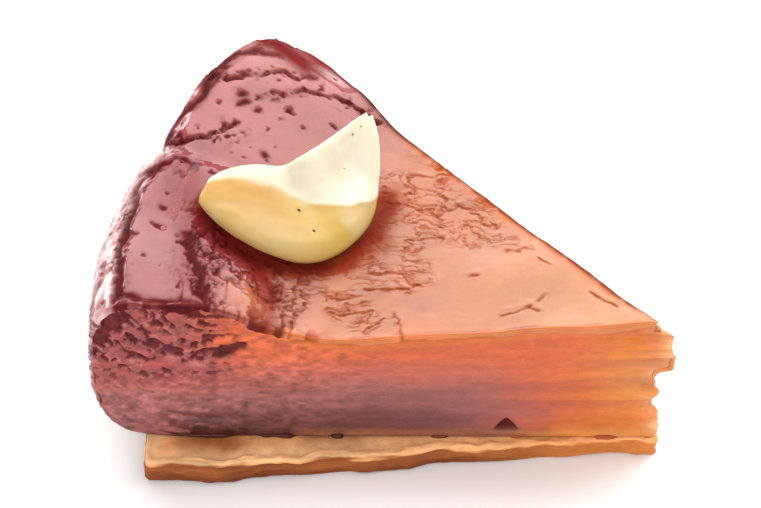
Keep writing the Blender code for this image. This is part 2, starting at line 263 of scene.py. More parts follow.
# The cream's white is painted light and its yellows are painted shade.
CREAM_LIT_WHITE = (0.62, 0.55, 0.41)
CREAM_LIT_EAR = (0.735, 0.685, 0.545)
CREAM_SHADED_YELLOW = (0.50, 0.32, 0.065)
CREAM_DEEP_SHADE = (0.43, 0.22, 0.030)
CREAM_PEACH = (0.76, 0.42, 0.32)
BEAD_DARK = (0.070, 0.007, 0.005)
BEAD_AMBER = (0.36, 0.07, 0.015)


def smooth_step(value):
    """0 below 0, 1 above 1, and an S curve between."""
    t = np.clip(value, 0.0, 1.0)
    return t * t * (3.0 - 2.0 * t)


def climb(value, start, length):
    """0 up to the start and 1 once a length past it, both in millimetres, with an S curve between."""
    return smooth_step((value - start * MM) / (length * MM))


def sink(value, end, length):
    """1 until a length before the end and 0 from the end on, both in millimetres, with an S curve between."""
    return smooth_step((end * MM - value) / (length * MM))


def bell(value):
    """1 at 0, falling to nothing past 2 on either side."""
    return np.exp(-(value**2))


def unit(vectors):
    """The same directions with a length of 1."""
    return vectors / np.maximum(np.linalg.norm(vectors, axis=-1, keepdims=True), 1e-12)


def tint(first, second, mask):
    """A colour that goes from the first to the second as the mask goes from 0 to 1, for whole arrays."""
    return np.asarray(first) + (np.asarray(second) - np.asarray(first)) * np.asarray(mask)[..., None]


def paint(colour, *coats):
    """The colour with each coat's own colour laid over it in turn, as far as that coat's mask says."""
    for coat, mask in coats:
        colour = tint(colour, coat, mask)
    return colour


def lattice(cells, seed):
    """A number from -1 to 1 for each whole-number cell, mixed from its three indices by large odd factors."""
    mixed = cells @ np.array((374761393, 668265263, 1442695041)) + seed * 974634777
    mixed = mixed & 0xFFFFFFFF
    mixed = ((mixed ^ (mixed >> 13)) * 1274126177) & 0xFFFFFFFF
    return (mixed ^ (mixed >> 16)) / 2147483647.5 - 1.0


def noise(points, size, seed):
    """Random swells: lattice values one cell of the given size in millimetres apart, joined by S curves."""
    at = points / (np.asarray(size) * MM)
    cell = np.floor(at).astype(np.int64)
    f = at - cell
    f = f * f * f * (f * (f * 6.0 - 15.0) + 10.0)
    total = np.zeros(points.shape[:-1])
    for corner in np.ndindex(2, 2, 2):
        step = np.array(corner)
        total += np.where(step, f, 1.0 - f).prod(axis=-1) * lattice(cell + step, seed)
    return total


def fractal(points, size, seed, octaves=3):
    """Swells with smaller swells on them, each half the size and half the strength of the last."""
    return sum(noise(points, np.asarray(size) / 2**i, seed + i) / 2**i for i in range(octaves))


def near_path(x, y, path, width):
    """1 on a path of straight runs, falling as a bell beside it. Path and width are in millimetres."""
    path = np.array(path) * MM
    nearest = np.full(np.shape(x), np.inf)
    for start, end in zip(path[:-1], path[1:]):
        run = end - start
        along = np.clip(((x - start[0]) * run[0] + (y - start[1]) * run[1]) / (run @ run), 0.0, 1.0)
        nearest = np.minimum(nearest, np.hypot(x - start[0] - along * run[0], y - start[1] - along * run[1]))
    return bell(nearest / (width * MM))


SLOPE_STEP = 0.15 * MM
LEAST_SLOPE = 0.45


def crinkles(points, size, seed, width):
    """Lines where a swell of noise crosses zero, and the signed distance from them in widths.

    The distance is the swell's value over its slope, and the slope comes from two small steps in plan.
    """
    step = SLOPE_STEP
    here = fractal(points, size, seed)
    moves = np.eye(3)[:2] * step
    slopes = [(fractal(points + move, size, seed) - here) / step for move in moves]
    least = LEAST_SLOPE / (np.min(size) * MM)
    distance = here / np.maximum(np.hypot(*slopes), least) / (width * MM)
    return bell(distance), distance


def along_cut(points):
    """The same points turned so that the first axis runs along the -Y cut."""
    x, y, z = np.moveaxis(points, -1, 0)
    c, s = math.cos(HALF_ANGLE), math.sin(HALF_ANGLE)
    return np.stack([x * c + y * s, y * c - x * s, z], axis=-1)


def polar(x, y):
    """Distance from the tart's centre, and angle from the slice's centreline."""
    return np.hypot(TIP_X - x, y), np.arctan2(y, TIP_X - x)


def lobe_crease(a):
    """1 in the fold between the rim's two apple lobes, falling to 0 beside it."""
    return bell((a - LOBE_CREASE_ANGLE) / LOBE_CREASE_WIDTH)


def pastry_top(x):
    """The pastry's upper face: a plane that rises from the tip to the rim."""
    return PASTRY_TIP_THICKNESS + (PASTRY_RIM_THICKNESS - PASTRY_TIP_THICKNESS) * (TIP_X - x) / PASTRY_RADIUS


def top_height(x, y):
    """The apples' upper surface: it sags from the tip to the middle, then swells in a roll along the rim.

    The +Y lobe carries a dome, and slumps close to its cut.
    """
    r, a = polar(x, y)
    side = a / HALF_ANGLE
    plateau = TIP_HEIGHT + (MIDDLE_HEIGHT - TIP_HEIGHT) * smooth_step(r / MIDDLE_RADIUS)
    rise = smooth_step((r - ROLL_START - ROLL_SLANT * side) / ROLL_LENGTH)
    roll = ROLL_RISE * (1.0 - ROLL_LEAN * side) * rise
    crease = LOBE_CREASE_DEPTH * lobe_crease(a) * smooth_step((r - LOBE_CREASE_START) / LOBE_CREASE_LENGTH)
    dome = DOME_RISE * bell((a - DOME_ANGLE) / DOME_WIDTH) * smooth_step((r - DOME_START) / DOME_LENGTH)
    from_cut = r * np.sin(np.maximum(HALF_ANGLE - a, 0.0))
    slump = SLUMP * bell(from_cut / SLUMP_WIDTH) * smooth_step((r - SLUMP_START) / SLUMP_LENGTH)
    crossed = np.sin(r * WAVE_OUT + 1.3) * np.cos(y * WAVE_ACROSS)
    waves = crossed + 0.6 * np.sin(x * WAVE_SLANT[0] + y * WAVE_SLANT[1])
    return plateau + roll - crease + dome - slump + TOP_WAVE * waves


def quarter_round(share):
    """The inset of a quarter circle, 0 at its foot and 1 at its crown."""
    return 1.0 - np.sqrt(1.0 - np.clip(share, 0.0, 1.0) ** 2)


def shoulder(share):
    """How far the rim's rounded shoulder stands in from its widest, by share of its height."""
    return RIM_ROUND * quarter_round((share - 1.0 + RIM_ROUND_SHARE) / RIM_ROUND_SHARE)


def squareness(a):
    """How much squarer the shoulder is than elsewhere on the rim, and how close the +Y corner is."""
    corner = smooth_step((a - CORNER_ANGLE) / CORNER_LENGTH)
    return SQUARE_SHARE * smooth_step((a - LOBE_CREASE_ANGLE) / SQUARE_ANGLE) * (1.0 - corner), corner


def rim_inset(share):
    """How far the rim stands in from its widest, by share of its height: tucked below, rounded above."""
    return RIM_TUCK * quarter_round(1.0 - share / RIM_TUCK_SHARE) + shoulder(share)


def wedge_outline(u, radius):
    """Plan points of the wedge at shares u of the way round, anticlockwise from the tip.

    r runs from 0 to the radius along the +Y cut, stays there round the arc and runs back to 0, while a
    falls from +HALF_ANGLE to -HALF_ANGLE round the arc. A Gaussian along the line rounds its corners.
    """
    fine = 4096
    at = np.arange(fine) / fine
    side = 1.0 - 2.0 * np.clip((at - CUT_SHARE) / (1.0 - 2.0 * CUT_SHARE), 0.0, 1.0)
    r = radius * np.clip(np.minimum(at, 1.0 - at) / CUT_SHARE, 0.0, 1.0)
    line = (TIP_X - r * np.cos(HALF_ANGLE * side)) + 1j * r * np.sin(HALF_ANGLE * side)
    spread = CORNER_ROUND * CUT_SHARE * fine / radius
    soft = np.fft.ifft(np.fft.fft(line) * np.exp(-2.0 * (np.pi * spread * np.fft.fftfreq(fine)) ** 2))
    columns = [np.interp(u, at, part, period=1.0) for part in (soft.real, soft.imag)]
    return np.column_stack(columns)


def outward(points):
    """Unit vectors pointing out of a closed anticlockwise outline."""
    along = unit(np.roll(points, -1, axis=0) - np.roll(points, 1, axis=0))
    return np.column_stack([along[:, 1], -along[:, 0]])


def add_object(name, data):
    """A new object in the scene, made from its data."""
    thing = bpy.data.objects.new(name, data)
    bpy.context.scene.collection.objects.link(thing)
    return thing


def add_piece(name, points, quads, triangles, attributes):
    """A mesh object with smooth faces turned outwards, and one attribute for each named array of its points.

    Its volume is the sum, over every face, of a tetrahedron to the origin. If that is negative, the faces
    are turned over.
    """
    parts = [quads[:, (0, 1, 2)], quads[:, (0, 2, 3)], triangles]
    p, q, s = (points[np.concatenate(parts)[:, i]] for i in range(3))
    if np.einsum("ij,ij->", p, np.cross(q, s)) < 0.0:
        quads, triangles = quads[:, ::-1], triangles[:, ::-1]
    corners = np.concatenate([quads.ravel(), triangles.ravel()]).astype(np.int32)
    sizes = np.concatenate([np.full(len(quads), 4), np.full(len(triangles), 3)])
    mesh = bpy.data.meshes.new(name)
    mesh.vertices.add(len(points))
    mesh.vertices.foreach_set("co", points.astype(np.float32).ravel())
    mesh.loops.add(len(corners))
    mesh.loops.foreach_set("vertex_index", corners)
    mesh.polygons.add(len(sizes))
    mesh.polygons.foreach_set("loop_start", (np.cumsum(sizes) - sizes).astype(np.int32))
    mesh.update(calc_edges=True)
    mesh.shade_smooth()
    for key, values in attributes.items():
        values = np.asarray(values, dtype=np.float32)
        if values.ndim == 2:
            opaque = np.ones((len(values), 1), dtype=np.float32)
            layer = mesh.attributes.new(key, "FLOAT_COLOR", "POINT")
            layer.data.foreach_set("color", np.hstack([values, opaque]).ravel())
        else:
            mesh.attributes.new(key, "FLOAT", "POINT").data.foreach_set("value", values)
    return add_object(name, mesh)


def ring_faces(start, rows, columns):
    """Quads between each ring of points and the next, where the first point's number is start."""
    index = start + np.arange(rows * columns).reshape(rows, columns)
    after = np.roll(index, -1, axis=1)
    return np.stack([index[:-1], after[:-1], after[1:], index[1:]], axis=-1).reshape(-1, 4)


def fan(ring, pole, turned):
    """Triangles from a ring of point numbers to one pole."""
    after = np.roll(ring, -1)
    pair = (after, ring) if turned else (ring, after)
    return np.column_stack([*pair, np.full(len(ring), pole)])


def stack_piece(name, rings, first, last, attributes):
    """A closed body from a stack of equal rings, with a pole at each end. Attributes are for the rings."""
    rows, columns = rings.shape[:2]
    count = rows * columns
    points = np.concatenate([rings.reshape(-1, 3), [first, last]])
    quads = ring_faces(0, rows, columns)
    low = fan(np.arange(columns), count, True)
    high = fan(np.arange(count - columns, count), count + 1, False)
    full = {}
    for key, values in attributes.items():
        flat = values.reshape(count, -1)
        ends = [flat[:columns].mean(axis=0), flat[-columns:].mean(axis=0)]
        flat = np.concatenate([flat, ends])
        full[key] = flat if values.ndim == 3 else flat[:, 0]
    return add_piece(name, points, quads, np.concatenate([low, high]), full)


# ---------------------------------------------------------------- caramel skin


def skin_rows(count):
    """Even steps along the skin from the tip, over the shoulder and down to the rim's foot.

    Each step is given as its distance r and its share of the apples' height. The fine profile is a straight
    run at full height, then the rim's inset with the share turned by a cosine, so that both round parts are
    even.
    """
    turn = np.linspace(0.0, np.pi, 3000)
    wall = 0.5 + 0.5 * np.cos(turn)
    r = np.concatenate([np.linspace(0.0, TART_RADIUS - RIM_ROUND, 900)[:-1], TART_RADIUS - rim_inset(wall)])
    share = np.concatenate([np.ones(899), wall])
    height = (MIDDLE_HEIGHT + 0.8 * ROLL_RISE) * share
    length = np.concatenate([[0.0], np.cumsum(np.hypot(np.diff(r), np.diff(height)))])
    even = np.linspace(0.0, length[-1], count)
    return np.interp(even, length, r), np.interp(even, length, share)


def skin_place(r, share, a):
    """The skin before its relief: the apples' top for a share of 1, and the rim's wall down to a share of 0.

    Past the shoulder, the height is read from further in, as the rounding leaves it. The lobes' fold draws
    the wall in, and the squarer lobe pushes its shoulder out.
    """
    over = smooth_step((r - TART_RADIUS + RIM_ROUND + SHOULDER_BLEND) / SHOULDER_BLEND)
    square, corner = squareness(a)
    outer = r + over * (square * shoulder(share) - corner * CORNER_IN - LOBE_CREASE_DEPTH * lobe_crease(a))
    inner = outer - RIM_ROUND * (1.0 - square) * over
    x, y = TIP_X - outer * np.cos(a), outer * np.sin(a)
    floor = pastry_top(x) + TOUCH_GAP
    high = top_height(TIP_X - inner * np.cos(a), inner * np.sin(a))
    return np.stack([x, y, floor + (high - floor) * share], axis=-1)


def far_corner(r, a):
    """1 at the corner where the +Y lobe meets its cut, painted dark as shade, falling to 0 inside it."""
    return climb(r, 97, 8) * smooth_step((a - math.radians(17.5)) / math.radians(2.5))


def skin_top(z):
    """1 on the skin's upper face and 0 down on the rim's wall."""
    return climb(z, 30, 3)


def skin_bump(x, y, z):
    """1 on top of the bump beside the cream, falling as a bell round it."""
    return bell(np.hypot(x - BUMP[0], y - BUMP[1]) / BUMP_REACH) * skin_top(z)


def shaken_plan(points):
    """The points' x and y, shaken by noise, so that whatever follows a path on them wanders a little."""
    x, y = points[..., 0], points[..., 1]
    shaken_x = x + 1.0 * MM * noise(points, 6, 11) + 0.70 * MM * noise(points, 1.5, 12)
    shaken_y = y + 1.0 * MM * noise(points, 6, 13) + 0.70 * MM * noise(points, 1.5, 14)
    return shaken_x, shaken_y


def round_tart(points, shaken_x):
    """The points as distance out, length round the tart and height, with part of the shake left in."""
    x, y, z = np.moveaxis(points, -1, 0)
    r, a = polar(x, y)
    return np.stack([r + 0.5 * (shaken_x - x), a * 90 * MM, z], axis=-1)


def folded(points, shaken_x, shaken_y, on_top, bump):
    """The relief of folds, marks, spots, valley and bump, and how far painted shade darkens each point in
    them.

    Each fold is a bell-shaped groove along its path, with a wider bell of painted shade beside it. The marks
    near the tip are faint scratches with one side lifted. Chips of skin stand along the cracked folds, where
    a fine noise is high.
    """
    x, y = points[..., 0], points[..., 1]
    broken = smooth_step(0.95 + 0.8 * noise(points, 4, 15))
    folds = np.zeros_like(x)
    relief = np.zeros_like(x)
    for path, width, depth in FOLDS:
        whole = np.maximum(broken, smooth_step((width - 0.5) / 0.25)) * on_top
        groove = near_path(shaken_x, shaken_y, path, width) * whole
        folds = np.maximum(folds, near_path(shaken_x, shaken_y, path, FOLD_SHADE * width) * whole)
        relief = relief - depth * MM * groove
    for path in TIP_MARKS:
        mark = near_path(shaken_x, shaken_y, path, 0.34)
        mark = mark * smooth_step(0.9 + 1.1 * noise(points, 1.8, 16))
        folds = np.maximum(folds, 0.8 * mark)
        relief = relief - 0.16 * MM * mark + 0.12 * MM * near_path(shaken_x, y - 1.0 * MM, path, 0.6)
    for spot_x, spot_y, reach in SPOTS:
        spot = bell(np.hypot(shaken_x - spot_x * MM, shaken_y - spot_y * MM) / (reach * MM)) * on_top
        folds = np.maximum(folds, np.clip(1.8 * spot, 0.0, 1.0))
        relief = relief - 0.22 * MM * spot
    relief = relief - 1.3 * MM * near_path(x, y, VALLEY, 3.0) * on_top + BUMP_HEIGHT * bump
    cracked = [near_path(x, y, path, width) for path, width in CRACKED]
    crack_zone = np.max(cracked, axis=0) * on_top
    chips = smooth_step((fractal(points, (0.9, 1.4, 1.5), 17, 2) - 0.34) / 0.2) * crack_zone
    folds = np.maximum(folds, np.clip(1.6 * chips, 0.0, 1.0))
    return relief - 0.16 * MM * chips, folds


def wrinkled(relief, points, shaken_x, shaken_y, on_top):
    """The relief with its wrinkled patches, and how deep each point lies in a wrinkle.

    Grooves follow the lines where a swell of noise crosses zero, and one side of each line is lifted like
    crumpled film.
    """
    x, y, z = np.moveaxis(points, -1, 0)
    patch = np.zeros_like(x)
    for centre_x, centre_y, reach in WRINKLED:
        patch = np.maximum(patch, bell(np.hypot(x - centre_x * MM, y - centre_y * MM) / (reach * MM)))
    patch = smooth_step((patch + 0.30 * noise(points, 4, 31) - 0.22) / 0.45) * on_top
    film = along_cut(np.stack([shaken_x, shaken_y, z], axis=-1))
    lines = np.zeros_like(x)
    for size, seed, width, rise in WRINKLES:
        line, beside = crinkles(film, size, seed, width)
        lines = np.maximum(lines, line * (0.55 + rise * 2.0))
        relief = relief + rise * (bell((beside - 2.2) / 1.4) - 0.9 * line) * patch * MM
    return relief, lines * patch


def blistered(relief, points, shaken_x, shaken_y, on_top, bump, band):
    """The relief with the roll's inner slope, and how dark its bubbles and its blisters are.

    Close beside the cream the skin is bubbly, with small round cells. Elsewhere on the slope, long folds
    run round the tart.
    """
    x, y, z = np.moveaxis(points, -1, 0)
    r = polar(x, y)[0]
    slope = climb(r, 74, 5) * sink(r, 103, 5)
    slope = slope * climb(-y, 12, 5) * on_top
    slope = np.maximum(slope, 0.9 * band)
    slope = slope * (1.0 - 0.9 * bump)
    bubbly = near_path(x, y, BUBBLY_BAND, 3.8) * on_top * (1.0 - 0.9 * bump)
    bubbly = smooth_step((bubbly + 0.25 * noise(points, 3, 35) - 0.15) / 0.4)
    loose = np.stack([x + 0.4 * (shaken_x - x), y + 0.4 * (shaken_y - y), z], axis=-1)
    cells, beside = crinkles(loose, (1.9, 1.9, 3.0), 37, 0.26)
    relief = relief + bubbly * (0.20 * bell((beside - 1.8) / 1.2) - 0.24 * cells) * MM
    blisters, ridge = crinkles(round_tart(points, shaken_x), (2.3, 6.5, 6), 41, 0.36)
    relief = relief + slope * (0.32 * bell((ridge - 2.2) / 1.5) - 0.34 * blisters) * MM
    return relief, 0.6 * cells * bubbly, 0.8 * blisters * slope


def edged(relief, folds, points, on_top):
    """The relief and folds' darkness with the skin's edges: ragged in front, painted shade at the far corner.

    No groove runs out deep over a cut, so the relief is filled up to a shallow floor beside both.
    """
    r, a = polar(points[..., 0], points[..., 1])
    cut = r * np.sin(HALF_ANGLE - np.abs(a))
    near = climb(r, 66, 10) * (a < 0) * bell(cut / (2.2 * MM)) * on_top
    ragged = fractal(points, 2.6, 45)
    relief = relief + near * (0.34 * ragged - 0.20) * MM
    folds = np.maximum(folds, near * smooth_step((0.25 - ragged) / 0.35) * 0.9)
    streaks = fractal(along_cut(points), (2.0, 5.0, 4.0), 47, 2)
    folds = np.maximum(folds, far_corner(r, a) * (0.55 + 0.35 * smooth_step(0.3 + 1.4 * streaks)))
    back_lip = bell(cut / (1.2 * MM)) * (a > 0) * climb(r, 4, 5) * on_top
    folds = np.maximum(folds, back_lip * smooth_step(1.1 + 0.8 * streaks))
    floor = -0.5 * MM - np.minimum(relief, -0.5 * MM)
    return relief + floor * bell(cut / (2.6 * MM)) * on_top, folds


def walled(relief, points, shaken_x):
    """The relief with the rim's wall, pitted and softly swollen, and how dark its pits and caramel runs are.
    """
    x, y, z = np.moveaxis(points, -1, 0)
    r = polar(x, y)[0]
    wall = 1.0 - climb(z, 28, 8)
    relief = relief + wall * (0.40 * fractal(points, (9, 9, 6), 51) - 0.25) * MM
    pits = smooth_step((noise(points, (2.4, 2.4, 1.7), 55) - 0.25) / 0.35) * wall
    relief = relief - 0.45 * MM * pits
    upper_wall = climb(r, 113.0, 2) * climb(z, 18, 6)
    runs, beside = crinkles(round_tart(points, shaken_x), (3.4, 9, 7), 57, 0.5)
    relief = relief + upper_wall * (0.38 * bell((beside - 1.6) / 1.2) - 0.30 * runs) * MM
    return relief, 0.6 * pits, 0.5 * runs * upper_wall


def skin_relief(points):
    """Height of the skin's relief, how deep each point lies in a crevice, and the painted shade pooled there.

    Folds, wrinkles, blisters, edges and the rim's wall are added in turn. Broad dimples and a fine peel
    cover them all, with specks on the outer part, and painted shade pools round the cream and in the valley.
    """
    x, y, z = np.moveaxis(points, -1, 0)
    r = polar(x, y)[0]
    on_top, bump = skin_top(z), skin_bump(x, y, z)
    band = near_path(x, y, CRUMPLED_BAND, 4.0) * on_top
    shaken_x, shaken_y = shaken_plan(points)
    relief, folds = folded(points, shaken_x, shaken_y, on_top, bump)
    relief, lines = wrinkled(relief, points, shaken_x, shaken_y, on_top)
    relief, bubbles, blisters = blistered(relief, points, shaken_x, shaken_y, on_top, bump, band)
    relief, folds = edged(relief, folds, points, on_top)
    relief, pits, runs = walled(relief, points, shaken_x)
    relief = relief + (0.22 * fractal(points, 13, 61) + 0.03 * fractal(points, 2.2, 65, 2)) * MM
    specks = smooth_step((noise(points, 1.5, 71) - 0.74) / 0.08) * climb(r, 60, 30)
    relief = relief - 0.25 * MM * specks
    pooled_shade = near_path(shaken_x, shaken_y, CREAM_FOOT, 3.4)
    pooled_shade = np.maximum(pooled_shade, 0.95 * near_path(shaken_x, shaken_y, VALLEY, 2.8))
    pooled_shade = np.maximum(pooled_shade, 0.35 * band) * on_top * (1.0 - 0.8 * bump)
    # Everything in crevice is darkened as painted shade in skin_colour.
    crevice = folds + 0.8 * lines + pits + 0.8 * specks + blisters + runs + bubbles
    return relief, np.clip(crevice, 0.0, 1.0), np.clip(pooled_shade, 0.0, 1.0)


def skin_colour(points, crevice, pooled_shade):
    """Amber at the tip, red-orange in the middle, maroon at the rim, and brown at its foot.

    The front edge glows orange. Painted shade makes the far rim's corner nearly black-red and darkens the
    crevices and the pools round the cream and in the valley. A painted highlight lightens the near lobe's
    wall, and painted sheen the bump beside the cream.
    """
    x, y, z = np.moveaxis(points, -1, 0)
    r, a = polar(x, y)
    blur = 5 * MM * fractal(points, 14, 81)
    cut = np.abs(r * np.sin(HALF_ANGLE - np.abs(a)))
    edge = bell(cut / (1.6 * MM)) * sink(r, 86, 10)
    corner = far_corner(r, a)
    upper_wall = climb(r, 113.5, 2) * climb(z, 11, 9) * smooth_step((math.radians(3.5) - a) / math.radians(3))
    pale = np.clip(0.60 + 0.55 * fractal(points, (2.2, 5.0, 6.0), 87), 0.0, 1.0)
    mottle = np.clip(0.5 + 0.5 * fractal(points, 3, 85), 0, 1)
    rough = smooth_step(0.45 + 1.2 * noise(points, 3.0, 93)) * climb(r, 3, 6)
    lip_line = bell((cut - 0.9 * MM) / (0.35 * MM))
    colour = paint(
        tint(SKIN_TIP, SKIN_MIDDLE, climb(r + blur, 0, 55)),
        (tint(SKIN_RIM, SKIN_LOBE, smooth_step((a / HALF_ANGLE + 0.05) / 0.5)), climb(r + blur, 70, 26)),
        (SKIN_EDGE, 0.85 * edge),
        # Painted shade: the far corner, which slopes away from the light, is darkened.
        (SKIN_CORNER_SHADE, corner),
        # Painted highlight: pale streaks on the near lobe's upper wall.
        (SKIN_WALL_HIGHLIGHT, upper_wall * pale),
        (tint(SKIN_FOOT, FLESH_MAUVE, mottle), sink(z, 27, 12)),
        # Painted sheen: the bump is lighter where it catches the light.
        (SKIN_BUMP_SHEEN, 0.8 * skin_bump(x, y, z)),
        # Painted shade pooled round the cream's foot, in the valley and along the crumpled band.
        (SKIN_POOLED_SHADE, 0.9 * pooled_shade),
        # Painted shade in the crevices: folds, wrinkles, pits, blisters, specks and chips are darkened.
        (tint(SKIN_CRINKLE, SKIN_CREVICE, climb(r, 64, 24)), 0.9 * crevice * (1.0 - 0.75 * corner)),
        (SKIN_CREVICE, 0.8 * bell(cut / (0.7 * MM)) * (a > 0) * (1.0 - corner)),
        (SKIN_CRINKLE, 0.75 * lip_line * (a < 0) * rough),
    )
    shade = 1.0 + 0.12 * fractal(points, 6, 91)
    return np.clip(colour * shade[..., None], 0.0, 1.0)


def skin_lips(surface, normal, hang, scale):
    """The two strips that turn the skin down over its cuts, for the first and the last column.

    Each row goes over the edge in a quarter circle, drops by what hangs there and tucks into the apple.
    """
    turn = np.linspace(0.0, 0.5 * np.pi, 6)[1:]
    lips = []
    for column, sign in ((0, -1.0), (-1, 1.0)):
        out = np.array((math.sin(HALF_ANGLE), sign * math.cos(HALF_ANGLE), 0.0))
        edge, up = surface[:, column], normal[:, column]
        thick = hang[:, column : column + 1 or None]
        radius = (LIP_ROUND + LIP_PROUD * (0.4 + thick)) * scale
        drop = LIP_DROP * scale * thick
        lip = [edge + out * radius * math.sin(t) - up * LIP_ROUND * scale * (1.0 - math.cos(t)) for t in turn]
        low = lip[-1]
        lip += [low - up * drop * part for part in (0.35, 0.7, 0.93)]
        lip.append(low - up * drop - out * radius * 0.35)
        lip.append(low - up * drop * 0.9 - out * (radius + LIP_TUCK * scale))
        lips.append(np.stack(lip, axis=1))
    return lips


def skin_underside(v, side, row_r, row_share):
    """Rings of the buried underside, from the shares v and side of its outline, and the point they close on.

    Each ring is the outline drawn in towards the middle, and sunk straight down, or inwards on the wall.
    """
    row_v = np.arange(len(row_r)) / (len(row_r) - 1)
    rings = []
    for share_in, depth in SKIN_UNDERSIDE:
        at_v = 0.5 + (v - 0.5) * share_in
        at_r = np.interp(at_v, row_v, row_r)
        at_share = np.interp(at_v, row_v, row_share)
        inner = skin_place(at_r, at_share, side * share_in * HALF_ANGLE)
        wall = smooth_step((at_r - TART_RADIUS + RIM_ROUND) / (5 * MM))[:, None]
        flat = unit(np.stack([TIP_X - inner[:, 0], -inner[:, 1], np.zeros(len(inner))], axis=-1))
        inwards = unit(flat * wall + np.array((0.0, 0.0, -1.0)) * (1.0 - wall * 0.7))
        rings.append(inner + inwards * SKIN_DEPTH * depth)
    middle = np.interp([0.5], row_v, row_r)
    centre = skin_place(middle, np.ones(1), np.zeros(1))[0] - np.array((0.0, 0.0, SKIN_DEPTH))
    return np.stack(rings), centre


def make_skin(rows=390, columns=208):
    """The caramel skin: a grid from cut to cut and from tip to the rim's foot, closed by a buried underside.

    The grid ends in a lip over each cut. Its outline, round by the tip, is the first ring of the underside.
    """
    row_r, row_share = skin_rows(rows + 1)
    r, share = row_r[1:, None], row_share[1:, None]
    inset = np.minimum(LIP_ROUND / np.maximum(r, 0.1 * MM), 0.55 * HALF_ANGLE)
    a = np.linspace(-1.0, 1.0, columns)[None, :] * (HALF_ANGLE - inset)
    base = skin_place(np.broadcast_to(r, a.shape), np.broadcast_to(share, a.shape), a)
    normal = unit(np.cross(np.gradient(base, axis=1), np.gradient(base, axis=0)))
    normal *= np.sign(normal[: rows // 2, :, 2].sum())
    relief, crevice, pooled_shade = skin_relief(base)
    surface = base + normal * (relief * climb(r, 0, 8))[..., None]

    hang = np.clip(0.55 + 1.3 * fractal(base[:, (0, -1)], 5, 101), 0.0, 2.4)
    hang = hang * smooth_step((share - 0.72) / 0.2) + 0.15
    lips = skin_lips(surface, normal, hang, smooth_step(r[:, 0] / LIP_START)[:, None])
    grid = np.concatenate([lips[0][:, ::-1], surface, lips[1]], axis=1)
    extra, width = lips[0].shape[1], grid.shape[1]
    pad = ((0, 0), (extra, extra))
    crevice, pooled_shade = np.pad(crevice, pad, mode="edge"), np.pad(pooled_shade, pad, mode="edge")

    number = np.arange(rows * width).reshape(rows, width)
    pole = rows * width
    tip = skin_place(np.array([0.6 * MM]), np.array([1.0]), np.array([0.0]))[0]
    loop = np.concatenate([[pole], number[:, 0], number[-1, 1:-1], number[::-1, -1]])
    count = len(loop)
    grid_v = np.arange(1, rows + 1) / rows
    grid_s = np.clip((np.arange(width) - extra) / (columns - 1), 0.0, 1.0) * 2.0 - 1.0
    loop_v = np.concatenate([[0.0], grid_v, np.ones(width - 2), grid_v[::-1]])
    loop_s = np.concatenate([[0.0], -np.ones(rows), grid_s[1:-1], np.ones(rows)])
    under, centre = skin_underside(loop_v, loop_s, row_r, row_share)
    points = np.concatenate([grid.reshape(-1, 3), [tip], under.reshape(-1, 3), [centre]])

    squares = [number[:-1, :-1], number[1:, :-1], number[1:, 1:], number[:-1, 1:]]
    top_quads = np.stack(squares, axis=-1).reshape(-1, 4)
    first = pole + 1 + np.arange(count)
    joined = np.stack([loop, first, np.roll(first, -1), np.roll(loop, -1)], -1)
    under_quads = ring_faces(pole + 1, len(under), count)
    tip_fan = np.column_stack([number[0, :-1], number[0, 1:], np.full(width - 1, pole)])
    centre_fan = fan(first + (len(under) - 1) * count, pole + 1 + len(under) * count, False)
    quads = np.concatenate([top_quads, joined[:, ::-1], under_quads])
    triangles = np.concatenate([tip_fan, centre_fan[:, ::-1]])
    colour = skin_colour(points, *(pad_tail(v.ravel(), len(points)) for v in (crevice, pooled_shade)))
    dull = np.pad(far_corner(*polar(base[..., 0], base[..., 1])), pad, mode="edge")
    wet = np.minimum(1.35 * np.maximum(crevice, pooled_shade), 1.0)
    gloss = pad_tail(np.maximum(wet, dull).ravel(), len(points))
    return add_piece("caramel_skin", points, quads, triangles, {"tone": colour, "crevice": gloss})


def pad_tail(values, count):
    """The values with zeros added up to a count."""
    return np.concatenate([values, np.zeros(count - len(values))])


# ---------------------------------------------------------------- apple flesh


# Keeps the noise of one cut apart from the other's.
SIDES_APART = 40 * MM


